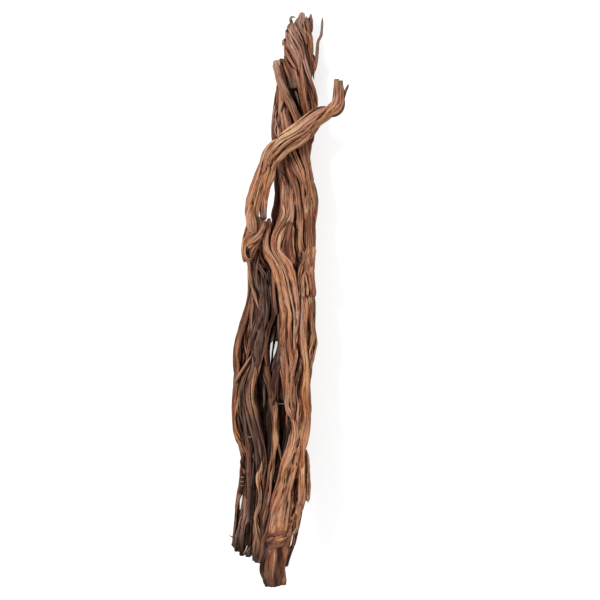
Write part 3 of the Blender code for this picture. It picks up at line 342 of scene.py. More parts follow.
    ("inner_stem", "D370 K400 K450", -4, "tt", [(364, 277, 282), (372, 273, 282), (382, 270, 282), (392, 268, 281), (404, 267, 280), (418, 266, 280), (432, 266, 280), (446, 267, 280), (460, 268, 280), (474, 268, 278), (486, 267, 276), (500, 264, 274)]),
    ("inner_stem", "D366 B385 D405", 1, "tt", [(362, 278, 282), (370, 277, 281.5), (380, 275.5, 279.8), (390, 274.5, 279), (402, 274, 279)]),
    ("rear_left_stem", "K", 0, "mm", [(366, 259, 268), (380, 260, 269), (395, 260, 270), (410, 261, 271), (430, 261, 271), (450, 262, 272), (470, 262, 272), (490, 260, 271), (505, 258, 269)]),
    ("left_inner_stem", "D", -3, "mm", [(240, 262, 270), (250, 262.5, 271), (260, 263, 272), (272, 264, 273)], .066, .078),
    ("left_middle_stem", "D", -2, "mm", [(254, 250, 255), (262, 249.6, 255), (270, 250, 256), (278, 251.5, 257.5)], .086, .088),
    ("left_front_stem", "D", 0, "mm", [(244, 258.5, 265), (252, 258.5, 265.5), (260, 258.8, 266), (270, 260, 268)], .062, .074),
    ("left_middle_stem", "D", 0, "mm", [(244, 251, 262), (254, 250, 262), (264, 250, 262), (272, 251, 262)], .090, .092),
    ("left_outer_stem", "D", 0, "mm", [(403, 238.4, 247), (412, 238.6, 248), (422, 239.4, 249), (430, 240.6, 250), (440, 244, 250)], .172, .184),
    ("left_inner_stem", "B316 D340", 0, "mm", [(310, 270, 278), (320, 270.5, 278.5), (330, 270.3, 278), (337, 270, 276), (343, 269.4, 272)], .100, .104),
    ("left_inner_stem", "D", 0, "mm", [(367, 266.6, 269.4), (371, 267, 273.6), (378, 268, 277.5), (388, 269, 279)], .118, .118),
    ("inner_stem", "K343 D370", 0, "mm", [(338, 276.6, 281), (344, 276.6, 281), (350, 275.7, 281), (356, 274.2, 281), (362, 272.5, 281), (367, 271, 281), (374, 270.6, 280)], .104, .108),
    ("inner_stem", "K322 D336", 0, "mc", [(320, 272, 279.5), (328, 272, 280), (335, 271.8, 280), (339, 272.8, 279.5), (341.4, 274, 279)], .110, .110),
    ("gap_stem", "K", 0, "mm", [(332, 273.6, 276), (342, 273.2, 275.6), (352, 271.4, 273.8), (362, 270.6, 273), (368, 269.4, 271.8), (378, 269, 272)], .128, .138),
    ("left_inner_stem", "D", 0, "mm", [(346, 259.5, 266), (356, 259.5, 266), (366, 260.5, 266), (378, 261, 267)], .124, .124),
    ("left_inner_stem", "D", 0, "mm", [(376, 260.5, 268), (386, 261, 269), (396, 262, 270), (406, 263, 271)], .132, .134),
    ("left_middle_stem", "D", 0, "mm", [(358, 239, 246.5), (366, 239, 247), (374, 239, 246.5), (380, 239, 244)], .150, .150),
    # painted shade: a near-black strand in the shaded hollow behind the trunk
    ("inner_stem", "K", 0, "tt", [(420, 283, 288), (435, 283, 289), (450, 281, 287), (465, 277, 283), (480, 274, 280)]),
    ("main_trunk", "M470 O500 M530", 0, "tt", [(470, 292, 299), (480, 291, 298.5), (490, 289.5, 297), (500, 288, 296), (510, 287, 295.5), (522, 285.5, 293.5), (536, 284, 291)]),
    # painted shade: the near-black strips below lie in the low trunk's clefts, where shade falls
    ("main_trunk", "K", 5, "tt", [(462, 295.2, 297.4), (472, 295.8, 298.6), (484, 296, 299), (494, 295.2, 298.2), (503, 293.6, 296)]),
    ("main_trunk", "K", 2.5, "tt", [(452, 294.2, 295.6), (458, 292.6, 294.8), (465, 291.2, 293)]),
    ("main_trunk", "K", 2.5, "tt", [(470, 288.2, 289.8), (477, 286.6, 288.8), (484, 285.8, 287.2)]),
    ("main_trunk", "K", 2.5, "tt", [(500, 287.4, 289), (508, 285.6, 288), (516, 284.6, 286.2)]),
    ("main_trunk", "K", 3.5, "tt", [(478, 284.6, 285.8), (486, 283.2, 284.8), (494, 281.6, 282.8)]),
    ("main_trunk", "K", 3.5, "tt", [(438, 299.4, 300.6), (443, 297.8, 299.4), (448, 296.6, 297.6)]),
    ("main_trunk", "B", 2, "tt", [(507, 290, 292), (515, 288.4, 291), (523, 287.6, 289.6)]),
    # foot
    ("main_trunk", "K545 D552 K562 K580", 7, "tf", [(541, 263, 269), (555, 262, 269), (565, 259.2, 267.5), (573, 258.8, 267), (580, 262, 268), (592, 265.5, 271)]),
    ("main_trunk", "D545 B556 D570 K583", 3, "tf", [(541, 268, 276), (556, 269.5, 276.5), (566, 270, 277), (576, 270, 278), (592, 270, 277)]),
    ("main_trunk", "L552 T563 M578", 5.5, "tt", [(550.5, 273.2, 276), (558, 272.8, 275.8), (566, 272, 274.8), (574, 271.4, 273.8), (581, 271, 273)]),
    ("main_trunk", "K545 K560 B575", 1, "tf", [(541, 275, 282), (556, 275.5, 281.5), (566, 276, 281), (576, 277, 283), (592, 277, 283)]),
    ("main_trunk", "B543 M556 B570 M579 K586", 1.5, "tf", [(541, 280, 289), (550, 280, 289), (557, 280.5, 287), (566, 280.5, 285), (575, 280, 286.5), (581, 281, 287), (592, 279, 284)]),
]

# Strands that run across, hook or cross over: node, colours with the place
# (0 to 1) where each holds, lift in mm, ends, then middle (u, v) and half width.
PATHS = [
    ("loop_limb_crossing", "M", -1, "tm", [(262.5, 174, 2.4), (265, 165, 3.2), (268.5, 157, 3.8), (273.5, 149.5, 3.8), (280, 144, 3.4)]),
    ("loop_limb_crossing", "M", -2, "mm", [(321, 112.5, 2.6), (327, 110.6, 3), (333, 107.4, 2.6)]),
    ("loop_limb_crossing", "P0 L.4 T1", 3, "mt", [(259.6, 168, 1.8), (261.8, 160, 2.2), (264.4, 154, 2.9), (268.8, 147.5, 3.3), (274, 142.8, 3.2), (279, 139.3, 2.6)]),
    ("loop_limb_crossing", "L0 T.6 G1", 3, "tt", [(278, 136.6, .7), (283, 133.2, 1.3), (288, 129.8, 1.6), (294, 125.5, 1.8), (300, 120.5, 1.7), (306, 115.3, 1.4), (312, 110.9, 1.2), (318, 108, 1), (326, 106, .7)]),
    ("loop_limb_crossing", "T0 L.3 L.45 P.7 P1", 3, "mt", [(266, 160, 2.2), (268.5, 154, 2.6), (271.5, 149.5, 3), (275, 145.8, 3.4), (280, 141, 4), (286, 136.6, 3.8), (292, 132.8, 3.8), (299, 127.5, 4.1), (305, 122.5, 4.3), (311, 118, 4.4), (317, 113.2, 3.8), (323, 109.4, 3), (329, 106.6, 2.2), (334, 103.4, 2)]),
    ("loop_limb_crossing", "T0 T.5 N1", 3, "mt", [(269, 166, 1.8), (270.6, 159, 2), (274.5, 154.5, 1.8), (279, 150.3, 2.1), (284, 145.5, 2.1), (289, 141.4, 1.9), (295, 137.9, 1.6), (301, 134.6, 1.1), (307, 131, .8)]),
    ("loop_limb_crossing", "O0 T.3 T.6 P1", 2, "mt", [(272.6, 170, 2), (275, 164, 2.6), (279, 159.8, 2.6), (283.5, 154.5, 3.1), (289, 149, 3.8), (294, 145.7, 4.2), (299, 142.6, 4.4), (304, 138.8, 4.4), (308.5, 135.3, 3), (311.5, 132.8, 1.4)]),
    ("loop_limb_crossing", "N0 T.4 O1", 3, "tm", [(310.5, 130.8, .9), (315.5, 126.6, 2.1), (319.8, 122.6, 3.4), (325, 118, 4.2), (329.5, 113.2, 4.3), (334, 109.3, 4.2), (338, 105, 3)]),
    ("loop_limb_left", "P0 P.3 O.6 M.85 G1", 2, "mm", [(264.3, 152.5, 1.8), (262.3, 158, 1.9), (260.8, 165, 1.9), (258.9, 172, 2), (256.5, 180, 2.4), (254.3, 188, 2.6), (251.8, 196, 2.7), (249, 204, 2.6), (247.5, 212, 2.6), (248.6, 220, 2.6)]),
    ("loop_limb_left", "P0 O.3 T.5 O.8 M1", 3, "mm", [(267.5, 150.5, 2.4), (266, 157, 2.9), (265, 164, 2.9), (263.6, 172, 3), (261.4, 180, 2.9), (259.2, 188, 2.9), (257.2, 196, 3.3), (255, 204, 3.4), (253.6, 212, 3.6), (253.4, 220, 3.4)]),
    ("loop_limb_left", "T0 L.4 M1", 2, "tm", [(263, 184, .7), (261.6, 192, 1), (260.3, 200, 1.2), (259, 208, 1.3), (257.9, 215, 1.4), (257.6, 220, 1.4)]),
    ("loop_limb_right", "O0 T.4 O.7 G1", 2, "mm", [(273, 157.5, 2.3), (274, 163, 3), (273.2, 170, 3.4), (271.6, 178, 3.4), (268.7, 186, 2.8), (267.2, 194, 2.5), (266, 202, 2.2), (265, 211, 2), (265, 220, 2.1)]),
    ("loop_limb_right", "D", -3, "mt", [(264.5, 168, 2), (263.6, 176, 2), (262.6, 184, 2), (261.8, 192, 1.8), (261.4, 199, 1.6), (261.2, 205, 1.2)], .026, .034, .040),
    ("loop_limb_right", "O0 O.4 M.7 G1", 1, "mm", [(268.4, 163, 1.8), (267.8, 170, 2.2), (266, 178, 2.1), (264.5, 186, 1.8), (263.4, 194, 1.5), (262.4, 202, 1.3), (261.7, 210, 1.2), (262, 220, 1.6)]),
    ("loop_limb_tip", "O0 P.4 N.7 S1", 2, "mc", [(328.5, 109, 2.6), (333.6, 105.6, 3.4), (336.6, 100.5, 3.5), (337.2, 94, 3.4), (337, 88, 3.3), (336.8, 82, 3.3), (336.8, 79, 3.3)]),
    ("loop_limb_tip", "O0 P.35 M.6 S1", 2, "mc", [(331.5, 113.8, 3), (337.5, 109.5, 3.2), (341.3, 103.5, 2.7), (342, 97, 2.2), (341.6, 91, 2.1), (341.2, 85, 2.1), (341.4, 80.6, 2.1)]),
    ("loop_limb_tip", "K0 B.4 G1", 0, "bt", [(332, 117, .8), (336.5, 115.6, 1.4), (341, 112, 1.7), (343.8, 106.5, 1.3), (344.2, 99, .9), (343.4, 93, .6)]),
    ("loop_limb_tip", "T", -1, "bt", [(341.6, 81.6, 1.6), (340.8, 86, 1.8), (340.2, 91, 1.6), (340, 98, 1.2)]),
    ("loop_limb_twig", "G", 0, "bt", [(348.2, 84.6, 1), (347.3, 87.2, 1.5), (346, 90.4, 1.5), (345, 93.6, 1.4), (344.2, 97.5, 1.2), (343, 102, 1)]),
    ("crown_stem", "V0 M1", 4, "bt", [(288.5, 29, 1.6), (292, 36, 2), (296.5, 43, 2), (300.5, 51, 1.7), (303.5, 60, 1.2)]),
    ("crown_stem", "M0 V1", 4, "bt", [(286.5, 37, 1.6), (289.5, 44, 2), (293.8, 51, 2), (297.6, 59, 1.6), (299.6, 68, 1)]),
    ("crown_stem", "R0 V1", 4, "bt", [(285, 49, 1.4), (287.6, 55, 2), (291, 61, 2), (294.5, 67, 1.5), (297, 75, .9)]),
    ("crown_stem", "B0 M1", 4, "bt", [(284.6, 56, 1.2), (287, 62, 1.7), (290.4, 68, 1.6), (293, 75, 1)]),
    ("main_trunk", "B0 M1", 0, "bt", [(300.5, 30, 1.2), (303.4, 37, 1.7), (305.6, 45, 1.8), (307.6, 54, 1.5), (309, 64, 1)]),
    ("main_trunk", "N0 N1", 3, "tt", [(309.6, 30, 1), (311.6, 38, 1.4), (312.2, 47, 1.4), (312.6, 56, 1)]),
    ("crown_stem", "S", 0, "bb", [(286, 38.8, 1.3), (283.6, 40.6, 1.6), (282.8, 44.4, 1.5)]),
    ("crown_stem", "K", 3, "bb", [(287.6, 38.6, .9), (285.4, 39.2, 1.2), (284.2, 41.2, .8)]),
    ("crown_stem", "K", 3, "bb", [(285.8, 32, 1), (287.2, 30.6, 1.4), (289, 31.4, 1)]),
    ("crown_stem", "S", 4, "bb", [(290.6, 24, 1.4), (288.6, 26.4, 1.7), (287.4, 30, 1.2)]),
    ("crown_stem", "S", 0, "bb", [(294, 17.4, .9), (291.6, 17, 1.5), (290.6, 19.6, 2), (291.6, 22.4, 2.1), (293.4, 26, 1.6)]),
    ("crown_stem", "D", 3, "tt", [(292.6, 20.2, .5), (290.8, 20.8, .8), (290.4, 22.6, .5)]),
    ("main_trunk", "K", 0, "tb", [(304.6, 19, 1), (307.4, 20.4, 1.3), (310.4, 17.4, 1.2)]),
    ("left_rear_strand", "V", 2, "tt", [(279, 108, 1), (275.5, 117, 1.2), (277.3, 124, 1.2), (279.5, 132, 1), (280, 137, .8)]),
    ("left_rear_strand", "V", 1, "tt", [(273.5, 117, .9), (276.3, 123, 1.1), (275, 130, 1.1), (277.8, 138, .9)]),
    ("left_knot", "B0 R.5 D1", -1, "mm", [(258, 216, 4.5), (256.5, 228, 7), (253, 240, 7.5), (250.5, 250, 5), (250, 258, 3)]),
    ("left_knot", "O0 M.5 B1", 3, "mt", [(262.5, 230, 2.2), (259, 238, 3), (255.4, 244, 2.8), (252.6, 249, 2.4), (251.4, 255, 1.8), (252, 262, 1.2)]),
    # painted shade: a near-black strand in the knot's hole
    ("left_knot", "K", 1, "tt", [(248.6, 248, 1), (247.8, 252, 1.7), (248.8, 256, 1.2)]),
    ("left_knot", "B", 0, "mm", [(262.5, 236, 3), (260, 243, 3.4), (257, 250, 3.4)], .040, .044),
    ("left_knot", "M0 O1", 3, "mm", [(246.6, 256, 1.6), (248, 261, 1.9), (249, 267, 1.7), (249.4, 274, 1.2)], .034, .052, .074),
    ("left_middle_stem", "D0 B.5 D1", 2, "mt", [(262.5, 244, 2.4), (258.5, 252, 3.2), (256, 262, 3.6), (255.5, 274, 3.2), (257.5, 288, 2.6)], .046, .052, .062, .072, .080),
    ("left_front_stem", "R0 B1", 2, "mt", [(262, 236, 2.2), (263.5, 246, 2.8), (265.5, 256, 2.6), (267.5, 266, 2)], .036, .046, .058, .066),
    ("left_inner_stem", "B0 D1", 1, "mt", [(266, 240, 2.2), (268.4, 250, 2.8), (269.8, 262, 3), (271, 276, 2.6)], .044, .056, .066, .078),
    ("left_middle_stem", "D0 G.5 D1", 2, "tt", [(254.5, 262, .8), (257.5, 270, 1.1), (260, 279, 1.1), (261.5, 288, .8)]),
    ("left_middle_stem", "D0 G.5 D1", 5, "tt", [(261.6, 306, 1), (260.6, 314, 1.8), (259.2, 322, 2), (256.4, 331, 1.8), (254, 340, 1)]),
    ("left_front_stem", "D", 0, "tt", [(262.2, 306, 1.2), (260.4, 314, 2), (259.4, 321, 2.2), (257.4, 330, 1.6)], .071, .073),
    ("left_middle_stem", "G0 D1", 2, "tt", [(260, 290, .8), (262.5, 300, 1.1), (262.6, 310, 1.1), (260.5, 320, .8)]),
    ("left_front_stem", "G0 D1", 2, "tt", [(266.5, 300, .8), (267, 310, 1.1), (265, 320, 1.1), (263, 330, .8)]),
    ("left_middle_stem", "B0 G.5 B1", 3, "tt", [(256, 318, .9), (252, 328, 1.2), (249.6, 338, 1.2), (248.6, 348, 1)]),
    ("left_middle_stem", "B0 G.5 B1", 3, "tt", [(262, 322, .9), (258, 332, 1.2), (255.6, 342, 1.3), (255, 354, 1)]),
    ("left_knot", "O0 P.3 T.6 M1", 7, "tt", [(252, 203, 3.2), (251.5, 211, 4.8), (251.6, 219.5, 5.7), (252.2, 226, 5.6), (254.5, 231, 3.8), (257, 233.5, 2)], .026, .020, .016, .013, .014),
    ("left_knot", "R0 P.5 O1", 9, "mt", [(264.6, 221, 2.2), (263.4, 228, 3.2), (259, 234.3, 4.1), (253.8, 239, 3.8), (249, 243.4, 2.8), (246.5, 247, 1.6)]),
    ("left_knot", "M0 O.3 L.5 P.75 R1", 8, "tt", [(256.5, 231.8, 1.4), (250.5, 235.4, 3), (245.7, 240.6, 3.9), (243.9, 247, 3.1), (243.8, 252.8, 2.2), (245.6, 257.3, 1.9), (249, 259.5, 1.8), (251.5, 257.6, 1.1)]),
    ("left_knot", "R", 9, "tt", [(259.8, 221.3, 1.3), (263, 221.5, 2.2), (265.8, 224, 1.9), (266, 228, 1.1)]),
    ("left_knot", "O", 6, "tt", [(259, 240.5, 1.3), (254.5, 245, 2), (250, 246.8, 1.7), (247.5, 248.6, 1)]),
    ("left_middle_stem", "M0 M.6 T1", 4, "tb", [(251.5, 355.5, 1.2), (248, 361.5, 1.9), (244.3, 367, 2.1), (240.7, 372.4, 2), (237.6, 377.4, 1.9), (234.8, 381.2, 1.8), (233.2, 383, 1)]),
    ("broken_stem", "R0 K.5 R1", 3, "tt", [(298.4, 252.4, 1.2), (299.8, 256.4, 1.9), (301.6, 260.4, 1.9), (303.6, 264.6, 1.2)]),
    ("broken_stem", "M0 R.5 M1", 2.5, "tt", [(302.6, 250.4, 1.2), (304.2, 255, 1.8), (304, 260, 1.7), (301.6, 265.6, 1.1)]),
    ("broken_stem", "M0 T.5 M1", 4, "tt", [(311.4, 262.6, 1.1), (307.8, 268, 1.6), (304.2, 273.6, 1.7), (301.4, 279.6, 1.3), (299.8, 285.6, .9)]),
    ("broken_stem", "R0 M.4 R1", 3.5, "tb", [(304.6, 266.6, 1.1), (307.8, 272, 1.5), (311, 278, 1.6), (313.2, 285, 1.6), (314, 292, 1.2)]),
    ("main_trunk", "D0 D.35 R.6 B1", 2.5, "tt", [(264, 537.6, 1.5), (271, 535.6, 2), (279, 533.8, 1.8), (287, 531.2, 1.2)]),
    ("main_trunk", "K0 D.3 R.42 O.6 O.8 R1", 1.5, "bt", [(267, 544, 2.4), (272, 542.4, 3.6), (278, 540.6, 3.6), (284, 538.4, 2.6), (288, 536.6, 1.4)]),
    ("main_trunk", "D0 B.35 R.6 B1", 2.5, "tt", [(264, 548.6, 1.7), (271, 548, 2.4), (279, 546.2, 2), (287, 542.6, 1.3)]),
    ("main_trunk", "R", 1, "tt", [(284, 548, 1.4), (287, 541, 2.2), (289.5, 535, 1.5)]),
    ("left_middle_stem", "W", 3, "bt", [(246.2, 552.2, .7), (248.6, 549.2, .8), (251.2, 545.6, .6)]),
    ("left_middle_stem", "W", 3, "bt", [(243.8, 553.6, .5), (245.6, 549.8, .7), (247.6, 545.4, .6)]),
    ("left_thin_shoot", "K", 1, "bt", [(229.6, 535.4, .5), (232, 536.8, .7), (234.8, 537.2, .5)]),
    ("left_thin_shoot", "K", 1, "bt", [(231, 544.5, .5), (233.4, 542.6, .7), (236.4, 541, .5)]),
    ("left_outer_stem", "K0 D.3 K.7 K1", 4, "bb", [(244.8, 455, 1.2), (242.6, 459, 2.4), (242.3, 464, 2.4), (244.2, 468.6, 1.3)], .196, .192, .192, .196),
    ("left_outer_stem", "K0 D.4 D.8 K1", 4, "bm", [(242.7, 474.4, 2), (242.2, 480, 2.3), (241.6, 487, 2.2), (240.2, 494, 1.8)], .198, .204, .214, .226),
    ("left_outer_stem", "S", 5.5, "tt", [(240.2, 476.8, .5), (242.4, 477.4, .8), (244.6, 476.6, .5)], .198, .198),
    ("left_outer_stem", "S", 5.5, "tt", [(240, 481, .5), (242.2, 481.6, .8), (244.4, 480.8, .5)], .203, .203),
    ("left_outer_stem", "S", 5.5, "tt", [(239.8, 485, .5), (242, 485.6, .8), (244.2, 484.8, .5)], .209, .209),
    ("left_outer_stem", "K", 2, "bt", [(237.4, 550.4, .6), (239.6, 546.6, .8), (240.4, 541, .6)]),
    ("left_outer_stem", "K", 2, "bt", [(243.2, 551.6, .5), (242.6, 547, .8), (241.4, 541.4, .6)]),
    ("left_middle_stem", "K", 2, "bt", [(252.6, 554.6, .6), (250.8, 549.6, .8), (248.8, 544.6, .6)]),
    ("left_middle_stem", "K", 2, "bt", [(246.6, 554.6, .5), (247.2, 549, .8), (246.2, 543, .6)]),
    ("left_front_stem", "S", 1, "tt", [(247.8, 436.2, .5), (250, 437, .8), (252.2, 436.4, .5)]),
    ("inner_stem", "G", 7, "tt", [(276, 403.2, .8), (282, 403.6, 1.1), (288, 402.8, .8)]),
]


def hash_name(name):
    total = 7
    for letter in name:
        total = (total * 31 + ord(letter)) % 1000003
    return total



# ------------------------------------------------------------------- helpers
def noise(p, seed=0):
    """Smooth value noise in 0..1 at points p (n, 3)."""
    p = np.asarray(p, float)
    i = np.floor(p).astype(np.int64)
    f = p - i
    f = f * f * (3 - 2 * f)
    out = np.zeros(len(p))
    for dx in (0, 1):
        wx = f[:, 0] if dx else 1 - f[:, 0]
        for dy in (0, 1):
            wy = f[:, 1] if dy else 1 - f[:, 1]
            for dz in (0, 1):
                wz = f[:, 2] if dz else 1 - f[:, 2]
                h = ((i[:, 0] + dx) * 73856093) ^ ((i[:, 1] + dy) * 19349663) ^ ((i[:, 2] + dz) * 83492791) ^ (seed * 2654435)
                h = (h ^ (h >> 13)) * 1274126177
                h = (h ^ (h >> 16)) & 0xFFFF
                out += wx * wy * wz * (h / 65535.0)
    return out


def spline(knots, values, at):
    k, p = np.asarray(knots, float), np.asarray(values, float)
    slope = np.gradient(p, k, axis=0)
    i = np.clip(np.searchsorted(k, at, side="right") - 1, 0, len(k) - 2)
    h = (k[i + 1] - k[i])[:, None]
    t = ((at - k[i]) / h[:, 0])[:, None]
    return ((2 * t**3 - 3 * t**2 + 1) * p[i] + (t**3 - 2 * t**2 + t) * h * slope[i]
            + (-2 * t**3 + 3 * t**2) * p[i + 1] + (t**3 - t**2) * h * slope[i + 1])


def smooth_along(x, n):
    """Running mean over n samples, ends held."""
    if n < 2 or len(x) < 3:
        return x
    n = min(n, len(x) // 2 * 2 - 1) | 1
    pad = n // 2
    kernel = np.hanning(n + 2)[1:-1]
    kernel /= kernel.sum()
    y = np.pad(x, ((pad, pad),) + ((0, 0),) * (x.ndim - 1), mode="edge")
    if x.ndim == 1:
        return np.convolve(y, kernel, "valid")
    return np.stack([np.convolve(y[:, c], kernel, "valid") for c in range(x.shape[1])], 1)


def unit(v):
    return v / np.maximum(np.linalg.norm(v, axis=-1, keepdims=True), 1e-12)


# The model's stems, as standing tracks: height -> x, y, radius.
class Stem:
    def __init__(self, name, rooted, rows):
        self.name, self.rooted = name, rooted
        self.rows = np.array(sorted(rows), float)            # v, u, half, depth, from the top down
        track = []
        for v, u, half, depth in rows:
            (x, y, z), size = from_sheet(u, v, depth)
            track.append((float(z), float(x), float(y), float(half * size)))
        track.sort()
        if rooted:
            z0, x0, y0, r0 = track[0]
            z1, x1, y1, r1 = track[1]
            f = (0 - z0) / (z1 - z0)
            track[0] = (0.0, x0 + f * (x1 - x0), y0 + f * (y1 - y0), r0 + f * (r1 - r0))
        self.z = np.array([t[0] for t in track])
        self.rest = np.array([t[1:] for t in track])
        self.low, self.high = self.z[0], self.z[-1]

    def at(self, z):
        return spline(self.z, self.rest, np.clip(z, self.low, self.high))

    def front(self, u, v):
        """Depth of the stem's front at (u, v) on the elevation, and whether
        the stem is there at all."""
        row = spline(self.rows[:, 0], self.rows[:, 1:], np.clip(v, self.rows[0, 0], self.rows[-1, 0]))
        t = np.abs(u - row[:, 0]) / row[:, 1]
        size = (row[:, 2] + EYE_DISTANCE) / SHEET_SCALE * 0.98
        here = (v > self.rows[0, 0] - 6) & (v < self.rows[-1, 0] + 6) & (t < 1.9)
        return row[:, 2] - FLATNESS * row[:, 1] * size * np.sqrt(1 - np.minimum(t, 0.86) ** 2), here


stems = {row[0]: Stem(row[0], row[2], row[3]) for row in STEMS}
limb_rows = {row[0]: np.array(row[3], float) for row in LIMBS}
limb_flat = {row[0]: row[2] for row in LIMBS}


def front_anyhow(u, v):
    """Depth of whichever stem is in front at (u, v)."""
    best = np.full(len(u), np.inf)
    for stem in stems.values():
        row = spline(stem.rows[:, 0], stem.rows[:, 1:], np.clip(v, stem.rows[0, 0], stem.rows[-1, 0]))
        t = np.abs(u - row[:, 0]) / row[:, 1]
        here = (v > stem.rows[0, 0] - 1) & (v < stem.rows[-1, 0] + 1) & (t < 1.05)
        y = row[:, 2] - FLATNESS * row[:, 1] * 0.0033 * np.sqrt(1 - np.minimum(t, 0.9) ** 2)
        best = np.where(here & (y < best), y, best)
    return best


def lay_depth(name, u, v, half):
    """Depth of the surface that a strand of this node lies on."""
    if name in limb_rows:
        rows = limb_rows[name]
        middle = np.stack([(rows[:, 0] + rows[:, 2]) / 2, (rows[:, 1] + rows[:, 3]) / 2], 1)
        reach = np.hypot(rows[:, 2] - rows[:, 0], rows[:, 3] - rows[:, 1]) / 2
        fine = np.linspace(0, len(rows) - 1, 90)
        mid, rea, dep = (spline(np.arange(len(rows)), a, fine) for a in (middle, reach[:, None], rows[:, 4:5]))
        d = np.hypot(u[:, None] - mid[:, 0], v[:, None] - mid[:, 1])
        k = d.argmin(1)
        t = np.minimum(d[np.arange(len(u)), k] / rea[k, 0], 0.85)
        return dep[k, 0] - limb_flat[name] * rea[k, 0] * 0.0032 * np.sqrt(1 - t ** 2)
    y, here = stems[name].front(u, v)
    other = front_anyhow(u, v)
    other = np.where(np.isfinite(other), other, y)
    return np.where(here, y, other)


# ---------------------------------------------------------------- the strands
class Tube:
    """One strand: rings of points, its colour and its place in the UV sheet."""


RING, FRONT, BACK = ((0.0045, 0.0016, 0.0048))
tubes = {}
plan = []


def stops(text, path):
    """[(place, linear colour)] of a colour string."""
    out = []
    for word in text.split():
        letter, place = word[0], word[1:]
        out.append((float(place) if place else 0.0, WOOD_LINEAR[letter]))
    return out


def colour_at(text, at):
    marks = stops(text, at)
    if len(marks) == 1:
        return np.repeat(marks[0][1][None], len(at), 0)
    x = [m[0] for m in marks]
    return np.stack([np.interp(at, x, [m[1][c] for m in marks]) for c in range(3)], 1)


def own_seed(node, centre, a):
    """A seed that belongs to the strand, whatever else is made."""
    q = np.round(np.concatenate([centre[0], centre[-1], np.atleast_1d(a)[:1]]) * 1e4).astype(int)
    total = hash_name(node)
    for k in q:
        total = (total * 131 + int(k)) % 99991
    return total % 997 + 1


def sweep(node, centre, across, out, a, b, colour, ends, **more):
    """Notes a strand through `centre` with half widths a (across) and b (out),
    and how its top and bottom end. It is grown once all are known."""
    plan.append(dict(node=node, centre=centre, out=out, a=a, b=b, colour=colour, ends=ends, seed=own_seed(node, centre, a), **more))


def flutes(cos, sin, S, a, b, across, along, width, seed):
    """Grooves that wander, fork and join along a strand: 1 in a groove, 0 between."""
    p = np.stack([(cos * a).ravel() / across + seed * 7.31, (sin * b).ravel() / across + seed * 1.7, (S / along).ravel()], 1)
    warp = noise(p * np.array([0.6, 0.6, 1.9]) + 31, seed + 3) - 0.5
    p[:, :2] += 0.9 * warp[:, None]
    n = 0.68 * noise(p, seed) + 0.32 * noise(p * np.array([2.1, 2.1, 2.4]) + 17, seed + 1)
    return np.clip(1 - np.abs(n - 0.5) / width, 0, 1).reshape(S.shape)


